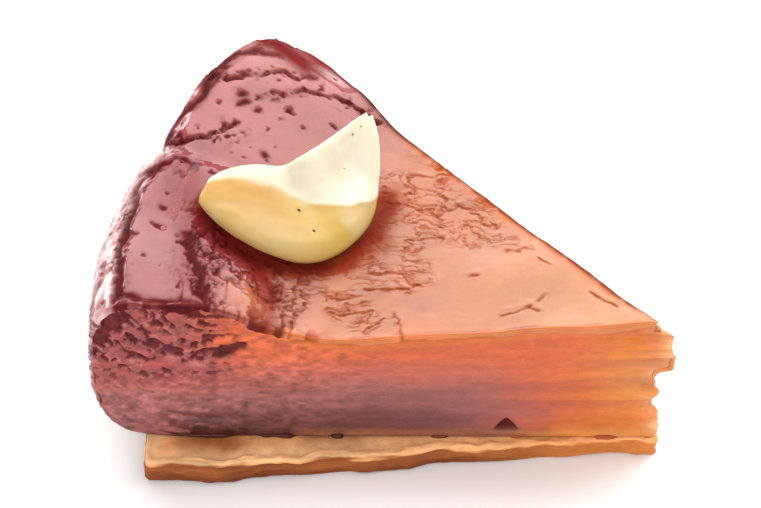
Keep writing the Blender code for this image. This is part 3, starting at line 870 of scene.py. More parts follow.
def flesh_relief(r, z, side):
    """Relief of the cut apple, how deep each point lies in a pit, and how layered it is there.

    Near the tip, stretched noise squared up by tanh gives pressed slices with steps between. Towards the
    rim it turns to grain, with lens-shaped pits that slant along the rim's curve, and deep crevices under
    the skin.
    """
    apart = side * SIDES_APART
    at = np.stack([r, apart, z], axis=-1)
    sag = z + 1.0 * MM * noise(at, 22, 201)
    layered = np.stack([r, apart, sag], axis=-1)
    lean = np.radians(12.0 + 34.0 * climb(r, 90, 26))
    past, up = r - 103 * MM, z - 26 * MM
    slant = [past * np.cos(lean) + up * np.sin(lean), apart, up * np.cos(lean) - past * np.sin(lean)]
    slant = np.stack(slant, axis=-1)
    tipward = 1.0 - climb(r, 6, 44)
    rimward = climb(r, 80, 16)
    upper = climb(z, 20, 9)
    slices = np.tanh(2.6 * noise(layered, (40, 20, 3.1), 211))
    leaves = np.tanh(2.0 * noise(layered, (18, 20, 1.1), 215))
    threads = noise(layered, (9, 5, 0.7), 221)
    grain = fractal(slant, (3.0, 3, 0.9), 231)
    lens = noise(slant, (3.0, 3, 1.3), 241) + 0.60 * noise(slant, (1.5, 2, 0.9), 242)
    lens = lens + 0.38 * noise(slant, (0.85, 1, 0.75), 243)
    pits = smooth_step((lens - 0.14) / 0.55) * rimward * (0.30 + 0.70 * upper)
    cracks = fractal(slant, (6, 6, 2.2), 251, 2)
    crevices = smooth_step((cracks - 0.24) / 0.40) * rimward * climb(z, 28, 6)
    shaken = 0.8 * MM * fractal(at, 3, 255)
    split = near_path(r + shaken, z + shaken, CUT_CRACK, 1.1) * (side < 0)
    above = np.clip((z - 7.6 * MM) / (3.6 * MM), 0.0, 1.0)
    inside = 1.0 - smooth_step((np.abs(r - 32 * MM) - 2.3 * MM * (1.0 - above)) / (0.7 * MM) + 0.3)
    hollow = inside * climb(z, 6.8, 0.8) * sink(z, 11.6, 1.2) * (side < 0)
    relief = 0.26 * tipward * slices + (0.03 + 0.07 * tipward) * leaves + 0.06 * threads
    relief = relief + 0.30 * rimward * grain - 0.55 * pits - 0.50 * crevices - 1.3 * split - 1.8 * hollow
    relief = relief + 0.38 * fractal(at, 17, 271, 2) + 0.45 * bell(r / (5 * MM)) * slices
    deep = np.clip(0.85 * pits + crevices + split + 1.2 * hollow, 0.0, 1.0)
    return relief * MM, deep, slices


def flesh_colour(r, z, high, side, deep, slices):
    """Amber at the tip, salmon to mauve in the middle, nearly black at the foot, red under the rim's skin."""
    at = np.stack([r, side * SIDES_APART, z], axis=-1)
    blur = fractal(at, (16, 10, 7), 301)
    level = z + 1.6 * MM * blur
    outer = smooth_step((r - 16 * MM + 6 * MM * blur) / (30 * MM))
    lower = climb(r, 32, 18) * (1.0 - 0.85 * climb(r, 99, 9))
    foot = climb(r, 74, 6) * (1.0 - climb(r, 101, 5))
    edge = climb(r + 4 * MM * blur, 87, 10)
    wet_foot = sink(z, 8.8, 2.0) * sink(r, 78, 5)
    yellow = bell((r - 5 * MM) / (7 * MM)) * bell((z - 22 * MM) / (8 * MM))
    band = climb(z - high, -3.2, 2.5) * sink(r, 88, 14)
    pale = bell(r / (2.6 * MM)) * smooth_step(0.7 + 0.8 * noise(at, (6, 6, 2), 321))
    membrane = smooth_step((0.35 - np.abs(deep - 0.18)) / 0.3) * (deep > 0.02)
    colour = paint(
        FLESH_AMBER,
        (FLESH_SALMON, climb(r + 6 * MM * blur, 6, 26)),
        (FLESH_PINK, 0.95 * outer * sink(level, 31.5, 7)),
        (FLESH_MAUVE, 0.95 * outer * sink(level, 25.5, 7)),
        (FLESH_DARK, 0.92 * lower * sink(level, 17, 6)),
        # Nearly black low down at the foot.
        (FLESH_LOW_BLACK, 0.8 * foot * sink(level, 9.5, 3)),
        (FLESH_RED, 0.9 * edge * climb(z, 18, 6)),
        (tint(FLESH_YELLOW, FLESH_FOOT, climb(r, 18, 16)), 0.9 * wet_foot),
        (FLESH_YELLOW, yellow),
        (FLESH_AMBER, 0.75 * band),
        (FLESH_PALE, 0.9 * pale),
        (FLESH_RED, 0.35 * smooth_step(-slices * 0.8) * (1.0 - outer)),
        (FLESH_MEMBRANE, 0.55 * edge * membrane),
        # Painted shade in the pits, cracks and hollow.
        (FLESH_PIT_SHADE, 0.9 * smooth_step((deep - 0.25) / 0.5)),
    )
    rimward = climb(r, 50, 30)
    speckle = fractal(at, (1.7, 2, 1.0), 331, 2)
    streak = noise(at, (13, 8, 1.5), 311)
    shade = 1.0 + 0.09 * streak + (0.08 + 0.26 * rimward) * speckle
    return np.clip(colour * shade[..., None], 0.0, 1.0)


def flesh_ring(share, u):
    """The cut apple's outline at one share of its height, with its colour and the depth of its pits.

    It is the wedge's outline, tucked and rounded at the rim, sunk a little under the skin, and moved in and
    out along its normals by the relief. At the tip one slab hangs out past the rest, in line with the -Y
    cut.
    """
    radius = TART_RADIUS - rim_inset(share)
    ring = wedge_outline(u, radius)
    r, a = polar(ring[:, 0], ring[:, 1])
    rimness = smooth_step((r / radius - RIM_FROM) / RIM_BLEND)
    cut_inset = CUT_ROUND * quarter_round((share - 1.0 + CUT_ROUND_SHARE) / CUT_ROUND_SHARE)
    out = outward(ring)
    square, corner = squareness(a)
    from_centre = np.column_stack([-np.cos(a), np.sin(a)])
    ring = ring + from_centre * (rimness * (square * shoulder(share) - corner * CORNER_IN))[:, None]
    arc = smooth_step((HALF_ANGLE * 0.985 - np.abs(a)) / (0.02 * HALF_ANGLE)) * rimness
    move = -arc * (LOBE_CREASE_DEPTH * lobe_crease(a) + FLESH_BELOW_SKIN) - (1.0 - rimness) * cut_inset
    rounding = RIM_ROUND * (1.0 - square)
    crown = np.clip(1.0 - rounding / np.maximum(r, rounding), 0.0, 1.0) * rimness + (1.0 - rimness)
    high = top_height(TIP_X - (TIP_X - ring[:, 0]) * crown, ring[:, 1] * crown) - FLESH_BELOW_SKIN
    floor = pastry_top(ring[:, 0]) + TOUCH_GAP
    height = floor + (high - floor) * share
    side = np.sign(a)
    relief, deep, slices = flesh_relief(r, height, side)
    calm = smooth_step(share / 0.05) * smooth_step((1.0 - share) / 0.04)
    move = move + relief * calm * (1.0 - arc)
    above_low = smooth_step((height - SLAB_LOW) / SLAB_SOFTNESS)
    above_high = smooth_step((height - SLAB_HIGH) / SLAB_SOFTNESS)
    steps = np.tanh(2.2 * noise(np.stack([r, r, height], axis=-1), (9, 9, 1.9), 265))
    torn = above_low - above_high - 0.22 * sink(height, 30, 1.2) * above_low
    push = (SLAB_REACH * 0.90 * torn * (1.0 + 0.12 * steps) + 0.45 * MM * steps) * bell(r / SLAB_SPREAD)
    ring = ring + out * move[:, None] + np.array((math.cos(HALF_ANGLE), math.sin(HALF_ANGLE))) * push[:, None]
    colour = flesh_colour(r, height, high, side, deep, slices)
    return np.column_stack([ring, height]), colour, deep


def make_flesh(rows=118, cut_points=350, rim_points=40):
    """The pressed apple: rings from floor to top, with points close together on the cuts, and a sunk cap."""
    cut = np.linspace(0.0, CUT_SHARE, cut_points, endpoint=False)
    rim = np.linspace(CUT_SHARE, 1.0 - CUT_SHARE, rim_points, endpoint=False)
    u = np.concatenate([cut, rim, 1.0 - CUT_SHARE + cut])
    made = [flesh_ring(share, u) for share in np.linspace(0.0, 1.0, rows)]
    rings, colours, depths = (np.stack(part) for part in zip(*made))
    middle = np.array((TIP_X - 0.68 * TART_RADIUS, 0.0))
    caps = []
    for share in (0.06, 0.14, 0.26, 0.4, 0.55, 0.7, 0.85):
        plan = rings[-1][:, :2] + (middle - rings[-1][:, :2]) * share
        sunk = FLESH_BELOW_SKIN * (1.0 + 1.2 * smooth_step(share / 0.2))
        caps.append(np.column_stack([plan, top_height(plan[:, 0], plan[:, 1]) - sunk]))
    rings = np.concatenate([rings, np.stack(caps)])
    colours = np.concatenate([colours, np.repeat(colours[-1:], len(caps), axis=0)])
    depths = np.concatenate([depths, np.zeros((len(caps), len(u)))])
    floor = pastry_top(middle[0]) + TOUCH_GAP
    ends = (*middle, floor), (*middle, top_height(*middle) - 2.0 * FLESH_BELOW_SKIN)
    return stack_piece("apple_flesh", rings, *ends, {"tone": colours, "crevice": depths})


# ---------------------------------------------------------------- pastry


def pastry_outline(count):
    """The pastry's plan: the wedge, splayed out along its -Y cut, with a slow and a quick wobble."""
    ring = wedge_outline(np.arange(count) / count, PASTRY_RADIUS)
    r, a = polar(ring[:, 0], ring[:, 1])
    splay = PASTRY_SPLAY * smooth_step(r / PASTRY_SPLAY_LENGTH)
    front = smooth_step((-a / HALF_ANGLE - 1.0 + PASTRY_SPLAY_BAND) / PASTRY_SPLAY_BAND)
    ring = ring + np.array((math.sin(HALF_ANGLE), -math.cos(HALF_ANGLE))) * (splay * front)[:, None]
    turn = np.arange(count) * (2.0 * np.pi / count)
    slow, quick = PASTRY_WOBBLE_TURNS
    wobble = PASTRY_WOBBLE * (np.sin(turn * slow) + 0.7 * np.sin(turn * quick + 2.0))
    return ring + outward(ring) * wobble[:, None]


def pastry_colour(points, share, leaves):
    """Toasted at the foot, then baked and gold by share of the height, with a pale crest along the edge.

    The sunken leaves are darker, and the whole is warmer towards the tip.
    """
    speckle = fractal(points, 1.3, 421, 2)
    patch = fractal(points, (12, 12, 3), 431)
    tipward = climb(points[:, 0], 20, 30)
    warm = np.array(PASTRY_GOLD) * (0.95, 0.70, 0.38)
    crest = 0.75 * bell((share - 0.96) / 0.055) * (1.0 - 0.7 * climb(points[:, 0], -5, 30))
    colour = paint(
        PASTRY_TOASTED,
        (PASTRY_BAKED, smooth_step((share - 0.08 + 0.10 * patch) / 0.45)),
        (PASTRY_GOLD, smooth_step((share - 0.72 + 0.15 * leaves + 0.12 * patch) / 0.22)),
        (PASTRY_TOASTED, 0.55 * smooth_step((-leaves - 0.1) / 0.8)),
        (warm, 0.55 * tipward),
        (PASTRY_CREST, crest),
    )
    return np.clip(colour * (1.0 + 0.10 * speckle + 0.12 * patch)[..., None], 0.0, 1.0)


def make_pastry(count=760):
    """Baked pastry: a flat underside, a flaky upright edge and a rough ledge that runs in under the apple.

    The edge is a stack of rings. Noise that is long in plan and thin in height, squared up by tanh, moves
    them in and out as leaves of pastry. A crisp lip runs along the top edge.
    """
    ring = pastry_outline(count)
    out = outward(ring)
    rings, tones = [], []
    for share in np.linspace(0.0, 1.0, 34):
        top = pastry_top(ring[:, 0])
        flat = np.column_stack([ring, top * share])
        leaves = np.tanh(2.4 * noise(flat, (8, 8, 0.95), 401))
        leaves = 0.75 * leaves + 0.25 * np.tanh(2.0 * noise(flat, (4, 4, 0.45), 405))
        rounding = quarter_round((0.11 - share) / 0.11) + 0.6 * quarter_round((share - 0.88) / 0.12)
        fade = smooth_step(share / 0.08)
        move = 0.42 * MM * leaves * fade + 0.35 * MM * fractal(flat, 5, 411) * fade - PASTRY_EDGE * rounding
        plan = ring + out * move[:, None]
        ripple = 0.22 * MM * fractal(np.column_stack([plan, np.zeros(count)]), 4, 415) * smooth_step(share)
        points = np.column_stack([plan, top * share + ripple * smooth_step((share - 0.3) / 0.7)])
        rings.append(points)
        tones.append(pastry_colour(points, np.full(count, share), leaves))
    edge = rings[-1]
    middle = np.array((TIP_X - 0.66 * PASTRY_RADIUS, 0.0))
    towards = middle - edge[:, :2]
    reach = np.linalg.norm(towards, axis=1)[:, None]
    for distance in (0.35, 0.75, 1.2, 1.8, 2.5, 3.3, 4.2, 5.2, 6.4, 7.8, 9.5, 11.5, 14.0):
        plan = edge[:, :2] + towards / reach * np.minimum(distance * MM, 0.85 * reach)
        lip = 0.30 * MM * bell((distance - 0.5) / 0.6)
        hump = 0.30 * MM * fractal(np.column_stack([plan, np.zeros(count)]), 3, 441) * bell(distance / 6.0)
        points = np.column_stack([plan, pastry_top(plan[:, 0]) + lip + hump - 0.12 * MM])
        rings.append(points)
        level = np.full(count, 1.0 - 0.022 * min(distance, 7.0))
        tones.append(pastry_colour(points, level, np.zeros(count)))
    rings, tones = np.stack(rings), np.stack(tones)
    ends = (*middle, 0.0), (*middle, pastry_top(middle[0]) - 0.12 * MM)
    return stack_piece("pastry", rings, *ends, {"tone": tones})


# ---------------------------------------------------------------- caramel bead


def make_bead(count=900, sides=14):
    """The caramel that has run out between apple and pastry: a wet uneven bead along the apple's foot.

    A circle of changing radius is carried round the foot's outline. The radius swells at each drip, and
    elsewhere where a slow noise is high.
    """
    radius = TART_RADIUS - rim_inset(0.0)
    u = np.arange(count) / count
    ring = wedge_outline(u, radius)
    out = outward(ring)
    floor = pastry_top(ring[:, 0])
    flat = np.column_stack([ring, np.zeros(count)])
    r, a = polar(ring[:, 0], ring[:, 1])
    drops = np.zeros(count)
    for drip_r, half in DRIPS:
        near = 1.0 - smooth_step((np.abs(r - drip_r * MM) / (half * MM) - 0.7) / 0.6)
        drops = np.maximum(drops, near * (a < 0))
    drops = np.maximum(drops, smooth_step((noise(flat, 7, 501) - 0.15) / 0.3) * (a >= 0))
    drops = drops * np.clip(0.80 + 0.50 * fractal(flat, 4.5, 502), 0.25, 1.3)
    thick = (0.22 + 0.55 * drops) * MM
    turn = np.arange(sides) * (2.0 * np.pi / sides)
    centre = ring - out * 0.30 * MM
    across = centre[:, None] + out[:, None] * (1.25 * thick[:, None] * np.cos(turn))[..., None]
    height = (floor + 0.30 * MM)[:, None] + 0.85 * thick[:, None] * np.sin(turn)
    points = np.concatenate([across, height[..., None]], axis=-1)
    here = np.arange(count * sides).reshape(count, sides)
    ahead = np.roll(here, -1, axis=0)
    faces = [here, ahead, np.roll(ahead, -1, axis=1), np.roll(here, -1, axis=1)]
    faces = np.stack(faces, axis=-1).reshape(-1, 4)
    colour = tint(BEAD_AMBER, BEAD_DARK, climb(r, 20, 40))
    tones = np.repeat(colour[:, None], sides, axis=1).reshape(-1, 3)
    none = np.zeros((0, 3), dtype=int)
    return add_piece("caramel_bead", points.reshape(-1, 3), faces, none, {"tone": tones})


# ---------------------------------------------------------------- cream


def cream_spine(t):
    """Points on the spine and the unit vectors across it, towards the outside of its bend."""
    start, bend, end = (np.array(point) for point in CREAM_SPINE)
    t = t[:, None]
    points = start * (1.0 - t) ** 2 + bend * (2.0 * t * (1.0 - t)) + end * t**2
    along = unit((bend - start) * (1.0 - t) + (end - bend) * t)
    return points, np.column_stack([along[:, 1], -along[:, 0]])


def cream_controls(t, rest):
    """Ten corners that each section of the cream is rounded from, as (across, up), for every step t along it.

    The belly is on the outside of the bend, and slims towards the end. A ridge runs over it and moves out
    to its edge, and a shallow spoon mark lies behind the ridge. The back edge dips in a saddle half way
    along and then climbs to an ear, which leans clear of the apples at the end. The named heights are above
    the table, and rest is the height that each section stands on.
    """
    slim = CREAM_SLIM * smooth_step((t - CREAM_SLIM_START) / (1.0 - CREAM_SLIM_START))
    belly = CREAM_BELLY * np.sin(np.pi * t**1.08) ** 0.7 * (1.0 - slim)
    back = CREAM_BACK * np.sin(np.pi * t**0.62) ** 0.7
    opening = np.clip(t / CREAM_ROUND_END, 0.0, 1.0)
    round_end = np.sqrt(opening * (2.0 - opening))
    taper = smooth_step((1.0 - t) / CREAM_TAPER)
    ear = smooth_step((t - CREAM_EAR_START) / (1.0 - CREAM_EAR_START))
    lift = CREAM_EAR_LIFT * smooth_step((t - CREAM_LIFT_START) / (1.0 - CREAM_LIFT_START))
    saddle = CREAM_SADDLE * bell((t - CREAM_SADDLE_AT) / CREAM_SADDLE_LENGTH)
    rear = (CREAM_RIDGE_HEIGHT - rest) * round_end + (CREAM_EAR_HEIGHT - CREAM_RIDGE_HEIGHT) * ear - saddle
    dip = CREAM_DIP * smooth_step((t - CREAM_DIP_START) / CREAM_DIP_LENGTH)
    ridge = rear - ((CREAM_EAR_HEIGHT - CREAM_RIDGE_HEIGHT) * ear + dip) * taper
    ridge_at = belly * (0.08 + 0.50 * smooth_step((t - 0.25) / 0.5))
    corners = (
        (0.50 * belly, lift),
        (0.96 * belly, lift + 0.10 * (ridge - lift)),
        (1.10 * belly, lift + 0.42 * (ridge - lift)),
        (np.maximum(0.82 * belly, ridge_at * 1.15), lift + 0.88 * (ridge - lift)),
        (ridge_at, 1.05 * ridge),
        (0.5 * (ridge_at - back), 0.5 * (ridge + rear) - CREAM_SPOON_MARK * ear),
        (-0.85 * back, 1.05 * rear),
        (-1.14 * back, 0.80 * rear + 0.20 * lift),
        (-1.00 * back, 0.25 * rear + 0.75 * lift),
        (-0.50 * back, lift),
    )
    return np.array(corners).transpose(2, 0, 1)


def rounded_section(corners, count):
    """A closed cubic B-spline pulled by its corners, at even steps; corners are (step, corner, axis)."""
    at = np.arange(count) * (corners.shape[1] / count)
    cell = at.astype(int)
    f = (at - cell)[:, None]
    weights = ((1 - f) ** 3, 3 * f**3 - 6 * f**2 + 4, -3 * f**3 + 3 * f**2 + 3 * f + 1, f**3)
    pulls = (w / 6.0 * corners[:, (cell + i - 1) % corners.shape[1]] for i, w in enumerate(weights))
    return sum(pulls)


def make_cream(steps=190, sides=170):
    """The spoonful of cream: rounded sections along a bent spine, with faint drag marks from the spoon.

    It is painted white as light behind the border that CREAM_BORDER gives along it, and yellow as shade on
    the belly in front.
    """
    t = np.linspace(CREAM_START, CREAM_END, steps)
    centre, across = cream_spine(t)
    section = rounded_section(cream_controls(t, top_height(centre[:, 0], centre[:, 1])), sides)
    plan = centre[:, None] + across[:, None] * section[:, :, :1]
    height = top_height(plan[..., 0], plan[..., 1]) + TOUCH_GAP + section[..., 1]
    rings = np.concatenate([plan, height[..., None]], axis=2)
    normal = unit(np.cross(np.gradient(rings, axis=0), np.roll(rings, -1, 1) - np.roll(rings, 1, 1)))
    normal *= np.sign(normal[steps // 2, :, 2] @ (rings[steps // 2, :, 2] - rings[steps // 2, :, 2].mean()))
    along = np.broadcast_to(t[:, None], plan.shape[:2]) * 30 * MM
    pull = np.stack([along, section[..., 0], section[..., 1]], axis=-1)
    marks = noise(pull, (16, 1.7, 1.7), 601)
    fade = smooth_step(t / 0.12) * smooth_step((1.0 - t) / 0.12)
    rings = rings + normal * ((0.10 * marks + 0.08 * fractal(rings, 5, 611)) * MM * fade[:, None])[..., None]
    corner_at = np.arange(sides) * (CREAM_CORNERS / sides)
    border = np.interp(t, *zip(*CREAM_BORDER))[:, None]
    soften = np.interp(t, (0.30, 0.50), (0.75, 0.30))[:, None]
    swirl = fractal(rings, 7, 621)
    belly = smooth_step((border - corner_at + 0.10 * swirl) / soften)
    low = smooth_step((2.2 - corner_at) / 1.8) * smooth_step((0.8 - t) / 0.2)[:, None]
    deep = bell((corner_at - 4.3) / 1.1) * smooth_step((0.52 - t) / 0.2)[:, None]
    pale = bell((t - 0.36) / 0.13)[:, None] * bell((corner_at - 2.7) / 0.9)
    # Painted light and shade: a lit white back and ear, a shaded yellow belly, deeper under the ridge.
    tones = paint(
        CREAM_LIT_WHITE,
        (CREAM_SHADED_YELLOW, belly * np.clip(0.88 + 0.24 * swirl, 0.0, 1.0)),
        (CREAM_DEEP_SHADE, belly * deep),
        (CREAM_LIT_EAR, smooth_step((t - 0.5) / 0.2)[:, None] * (1.0 - belly)),
        (CREAM_PEACH, 0.9 * belly * low),
        # A little painted light on the belly.
        (CREAM_LIT_WHITE, 0.25 * pale),
        # A little painted shade by the ear.
        (CREAM_SHADED_YELLOW, 0.18 * bell((t - 0.76) / 0.05)[:, None] * bell((corner_at - 5.2) / 0.5)),
    )
    first, last = rings[0].mean(axis=0), rings[-1].mean(axis=0)
    piece = stack_piece("cream", rings, first, last, {"tone": tones})
    return piece, rings, normal


def make_seeds(rings, normal, count=6):
    """Vanilla seeds: tiny ellipsoids pressed into the cream, two of them side by side on the belly."""
    draw = np.random.default_rng(SEED_DRAW)
    upper = np.argwhere(rings[..., 2] > np.median(rings[..., 2], axis=1, keepdims=True))
    chosen = upper[draw.choice(len(upper), count, replace=False)]
    places = rings[chosen[:, 0], chosen[:, 1]]
    ups = normal[chosen[:, 0], chosen[:, 1]]
    for i, (x, y) in enumerate(SEED_PAIR):
        distance = np.hypot(rings[..., 0] - x * MM, rings[..., 1] - y * MM)
        distance = distance + (rings[..., 2] < rings[..., 2].mean(axis=1, keepdims=True))
        spot = np.unravel_index(distance.argmin(), distance.shape)
        places[i], ups[i] = rings[spot], normal[spot]
    sizes = draw.uniform(*SEED_SIZES, count) * MM
    sizes[:2] = SEED_PAIR_SIZES
    lat = np.linspace(0.0, np.pi, SEED_ROWS + 2)[1:-1, None]
    lon = np.arange(SEED_SIDES) * (2.0 * np.pi / SEED_SIDES)
    ball = np.stack([np.sin(lat) * np.cos(lon), np.sin(lat) * np.sin(lon), np.cos(lat) + 0.0 * lon], axis=-1)
    ball = np.concatenate([ball.reshape(-1, 3), [(0, 0, 1), (0, 0, -1)]]) * SEED_SHAPE
    points = places[:, None] + sizes[:, None, None] * ball[None] - ups[:, None] * SEED_SUNK
    rows = ring_faces(0, SEED_ROWS, SEED_SIDES)
    poles = SEED_ROWS * SEED_SIDES
    first, last = np.arange(SEED_SIDES), np.arange(poles - SEED_SIDES, poles)
    ends = np.concatenate([fan(first, poles, True), fan(last, poles + 1, False)])
    shift = np.arange(count)[:, None, None] * len(ball)
    quads, triangles = (rows + shift).reshape(-1, 4), (ends + shift).reshape(-1, 3)
    return add_piece("vanilla_seeds", points.reshape(-1, 3), quads, triangles, {})


# ---------------------------------------------------------------- materials


class Wire:
    """One output of a node. Each arithmetic operator on it adds a Math node."""

    def __init__(self, finish, socket):
        self.finish = finish
        self.socket = socket

    def join(self, operation, first, second):
        """A Math node with this operation on two wires or numbers."""
        return self.finish.add("ShaderNodeMath", {"operation": operation}, {0: first, 1: second})

    def __add__(self, other):
        return self.join("ADD", self, other)

    def __sub__(self, other):
        return self.join("SUBTRACT", self, other)

    def __rsub__(self, other):
        return self.join("SUBTRACT", other, self)

    def __mul__(self, other):
        return self.join("MULTIPLY", self, other)

    __radd__ = __add__
    __rmul__ = __mul__


# Socket numbers of a colour Mix node.
MIX_FIRST, MIX_SECOND, MIX_RESULT = 6, 7, 2


class Finish:
    """A Principled material being built, whose constant sockets are set straight away."""

    def __init__(self, name, **constants):
        self.material = bpy.data.materials.new(name)
        self.material.use_nodes = True
        self.tree = self.material.node_tree
        self.shader = self.tree.nodes["Principled BSDF"]
        self.set(constants)

    def set(self, constants):
        """Fixed values for the shader's sockets."""
        for key, value in constants.items():
            self.shader.inputs[key.replace("_", " ")].default_value = value

    def translucent(self, weight, radius, scale):
        """Lets light into the surface, to a depth of scale times the radius for red, green and blue."""
        self.set({"Subsurface_Weight": weight, "Subsurface_Radius": radius, "Subsurface_Scale": scale})

    def add(self, kind, settings=None, sockets=None, output=0):
        """One node: its settings first, then a value or a wire for each of its sockets."""
        node = self.tree.nodes.new(kind)
        for key, value in (settings or {}).items():
            setattr(node, key, value)
        for key, value in (sockets or {}).items():
            if isinstance(value, Wire):
                self.tree.links.new(value.socket, node.inputs[key])
            else:
                node.inputs[key].default_value = value
        return Wire(self, node.outputs[output])

    def place(self):
        """Object coordinates."""
        return self.add("ShaderNodeTexCoord", output="Object")

    def stretched(self, scale):
        """Object coordinates, scaled along each axis."""
        return self.add("ShaderNodeMapping", None, {"Vector": self.place(), "Scale": scale})

    def grain(self, scale, detail=3.0, roughness=0.5, vector=None):
        """Noise from 0 to 1."""
        sockets = {"Vector": vector or self.place(), "Scale": scale, "Detail": detail, "Roughness": roughness}
        return self.add("ShaderNodeTexNoise", None, sockets)

    def layer(self, name, output="Color"):
        """A value that the mesh carries at its points."""
        return self.add("ShaderNodeAttribute", {"attribute_name": name}, None, output)

    def between(self, factor, first, second):
        """A colour between two fixed ones."""
        sockets = {"Factor": factor, MIX_FIRST: (*first, 1), MIX_SECOND: (*second, 1)}
        return self.add("ShaderNodeMix", {"data_type": "RGBA"}, sockets, MIX_RESULT)

    def scaled(self, colour, amount):
        """A colour times a number."""
        return self.add("ShaderNodeVectorMath", {"operation": "SCALE"}, {0: colour, "Scale": amount})

    def bump(self, height, strength, distance):
        """A surface roughened by a height."""
        sockets = {"Height": height, "Strength": strength, "Distance": distance}
        return self.add("ShaderNodeBump", None, sockets)

    def use(self, **wires):
        """Links wires to the shader's sockets."""
        for key, wire in wires.items():
            self.tree.links.new(wire.socket, self.shader.inputs[key.replace("_", " ")])
        return self.material


def skin_finish():
    """Set caramel: a clear wet coat over a deep colour, rougher and duller in the crevices."""
    f = Finish("caramel_glaze", IOR=1.22, Specular_IOR_Level=0.15, Coat_Roughness=0.07, Coat_IOR=1.5)
    f.translucent(0.12, (0.9, 0.3, 0.15), 1.6 * MM)
    crevice = f.layer("crevice", "Fac")
    shade = f.grain(900.0, 4.0) * 0.24 + 0.88
    peel = f.grain(420.0, 2.0) + f.grain(1500.0, 2.0) * 0.35
    return f.use(
        Base_Color=f.scaled(f.layer("tone"), shade),
        Roughness=crevice * 0.35 + 0.20,
        Coat_Weight=1.0 - crevice * 0.98,
        Normal=f.bump(peel, 0.35, 0.12 * MM),
    )


def flesh_finish():
    """Moist cooked apple: translucent, with fine threads along the slice and a broken wet sheen."""
    f = Finish("cooked_apple", IOR=1.33, Specular_IOR_Level=0.35, Coat_Roughness=0.16)
    f.translucent(0.25, (1.0, 0.36, 0.15), 1.6 * MM)
    crevice = f.layer("crevice", "Fac")
    threads = f.grain(1.0, 4.0, 0.6, f.stretched((260.0, 260.0, 1000.0)))
    cells = f.grain(1900.0, 3.0)
    return f.use(
        Base_Color=f.scaled(f.layer("tone"), threads * 0.26 + cells * 0.22 + 0.76),
        Roughness=threads * 0.30 + crevice * 0.15 + 0.30,
        Coat_Weight=(cells * 1.2 - 0.35) * (1.0 - crevice),
        Normal=f.bump(threads * 0.6 + cells, 0.6, 0.20 * MM),
    )


def pastry_finish():
    """Dry baked pastry: matt, finely flaked and speckled."""
    f = Finish("baked_pastry", IOR=1.4, Specular_IOR_Level=0.25)
    f.translucent(0.10, (1.0, 0.5, 0.25), 1.0 * MM)
    flakes = f.grain(1.0, 5.0, 0.6, f.stretched((420.0, 420.0, 2400.0)))
    crumb = f.grain(2600.0, 4.0, 0.6)
    return f.use(
        Base_Color=f.scaled(f.layer("tone"), flakes * 0.44 + crumb * 0.24 + 0.66),
        Roughness=flakes * 0.3 + 0.45,
        Normal=f.bump(flakes + crumb * 0.7, 0.8, 0.20 * MM),
    )


def cream_finish():
    """Thick vanilla cream: soft, translucent and satin."""
    f = Finish("vanilla_cream", IOR=1.42, Specular_IOR_Level=0.35, Coat_Weight=0.10, Coat_Roughness=0.2)
    f.translucent(0.45, (1.0, 0.75, 0.4), 3.0 * MM)
    silk = f.grain(700.0, 3.0)
    return f.use(
        Base_Color=f.scaled(f.layer("tone"), silk * 0.06 + 0.97),
        Roughness=silk * 0.14 + 0.30,
        Normal=f.bump(silk, 0.12, 0.10 * MM),
    )


def bead_finish():
    """Liquid caramel, dark and mirror-wet."""
    f = Finish("liquid_caramel", IOR=1.30, Coat_Roughness=0.05)
    cloud = f.grain(600.0, 3.0)
    return f.use(Base_Color=f.scaled(f.layer("tone"), cloud * 0.5 + 0.75), Roughness=cloud * 0.15 + 0.12)


def seed_finish():
    """Vanilla seed: nearly black, faintly shiny."""
    f = Finish("vanilla_seed", IOR=1.45)
    mottle = f.grain(3000.0, 2.0)
    dark = f.between(mottle, (0.02, 0.012, 0.008), (0.07, 0.04, 0.025))
    return f.use(Base_Color=dark, Roughness=mottle * 0.3 + 0.3)


def floor_finish():
    """A plain matt white table."""
    f = Finish("white_table", IOR=1.3, Specular_IOR_Level=0.2)
    paper = f.grain(3.0, 2.0)
    white = f.between(paper, (0.93, 0.93, 0.93), (0.95, 0.95, 0.95))
    return f.use(Base_Color=white, Roughness=paper * 0.05 + 0.75)


def dress(piece, finish, slot, *nodes):
    """Gives a piece its finish, puts it under the root body and hides the solids it goes with; slot is
    unused.
    """
    piece.data.materials.append(finish)
    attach(piece, "root")
    if nodes:
        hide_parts(*nodes)


# ---------------------------------------------------------------- room


SURROUND = 0.56

# Each light's name, azimuth, elevation, distance, width and height, and radiance.
SOFT_LIGHTS = (
    ("back_box", 190.0, 50.0, 3.0, (5.8, 3.4), 3.55),
    ("front_box", 10.0, 38.0, 3.0, (2.9, 2.4), 2.0),
    ("left_strip", 244.0, 11.0, 3.0, (0.8, 1.1), 7.5),
)


def direction(azimuth, elevation):
    """A unit vector from the slice. Azimuth 0 is towards -Y and turns towards +X."""
    a, e = math.radians(azimuth), math.radians(elevation)
    return Vector((math.sin(a) * math.cos(e), -math.cos(a) * math.cos(e), math.sin(e)))


def aim(thing, target, azimuth, elevation, distance):
    """Stands a light or a camera off from its target, facing it."""
    towards = direction(azimuth, elevation)
    thing.location = target + towards * distance
    thing.rotation_mode = "QUATERNION"
    thing.rotation_quaternion = towards.to_track_quat("Z", "Y")


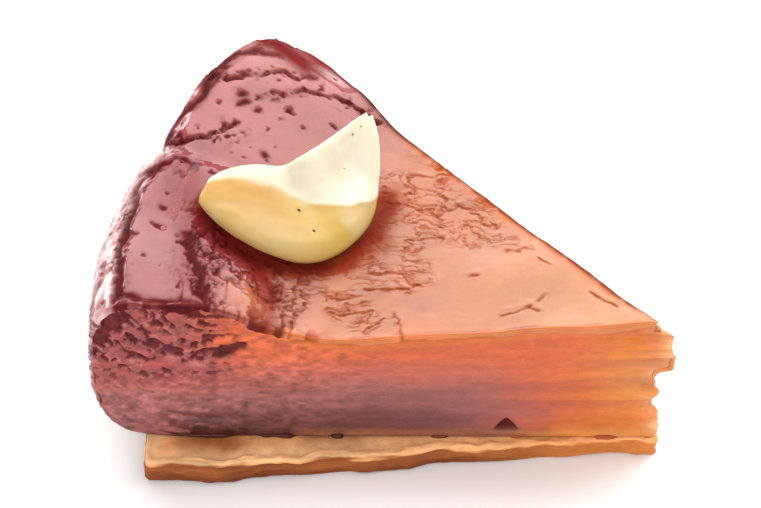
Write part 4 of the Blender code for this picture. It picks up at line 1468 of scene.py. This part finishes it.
def soft_light(name, azimuth, elevation, distance, size, radiance):
    """A soft box of even radiance that points at the slice and isn't seen by the camera."""
    light = bpy.data.lights.new(name, "AREA")
    light.shape = "RECTANGLE"
    light.size, light.size_y = size
    light.energy = radiance * math.pi * size[0] * size[1]
    lamp = add_object(name, light)
    aim(lamp, Vector((0.0, 0.0, 0.0)), azimuth, elevation, distance)
    lamp.visible_camera = False


def make_floor(half=4.0):
    """A wide white table under the slice."""
    corners = [(x * half, y * half, -0.02 * MM) for x, y in ((-1, -1), (1, -1), (1, 1), (-1, 1))]
    mesh = bpy.data.meshes.new("table_top")
    mesh.from_pydata(corners, [], [(0, 1, 2, 3)])
    mesh.materials.append(floor_finish())
    add_object("table_top", mesh)


def make_room():
    """Plain soft light: a pale surround, a wide box behind that shines in the caramel, and two others."""
    make_floor()
    world = bpy.data.worlds.new("studio")
    world.use_nodes = True
    surround = world.node_tree.nodes["Background"]
    surround.inputs["Color"].default_value = (1.0, 1.0, 1.0, 1.0)
    surround.inputs["Strength"].default_value = SURROUND
    bpy.context.scene.world = world
    for light in SOFT_LIGHTS:
        soft_light(*light)
    bpy.context.scene.view_settings.view_transform = "Standard"


CAMERA_AZIMUTH = 24.0
CAMERA_ELEVATION = 46.3
CAMERA_DISTANCE = 2.5
CAMERA_WIDTH = 161.1 * MM
CAMERA_AIM = Vector((-8.0 * MM, 12.0 * MM, 20.0 * MM))


def make_camera():
    """A long lens that looks down on the slice and takes in CAMERA_WIDTH at its middle."""
    lens = bpy.data.cameras.new("camera")
    lens.lens = lens.sensor_width * CAMERA_DISTANCE / CAMERA_WIDTH
    lens.clip_start = 0.05
    camera = add_object("camera", lens)
    aim(camera, CAMERA_AIM, CAMERA_AZIMUTH, CAMERA_ELEVATION, CAMERA_DISTANCE)
    bpy.context.scene.camera = camera


dress(make_flesh(), flesh_finish(), "apple", "apple_layer")
dress(make_skin(), skin_finish(), "apple", "apple_layer")
dress(make_bead(), bead_finish(), "apple", "apple_layer")
dress(make_pastry(), pastry_finish(), "pastry", "pastry_base")
cream, cream_rings, cream_normals = make_cream()
dress(cream, cream_finish(), "cream", "cream_quenelle")
dress(make_seeds(cream_rings, cream_normals), seed_finish(), "vanilla_seed")
make_room()
make_camera()
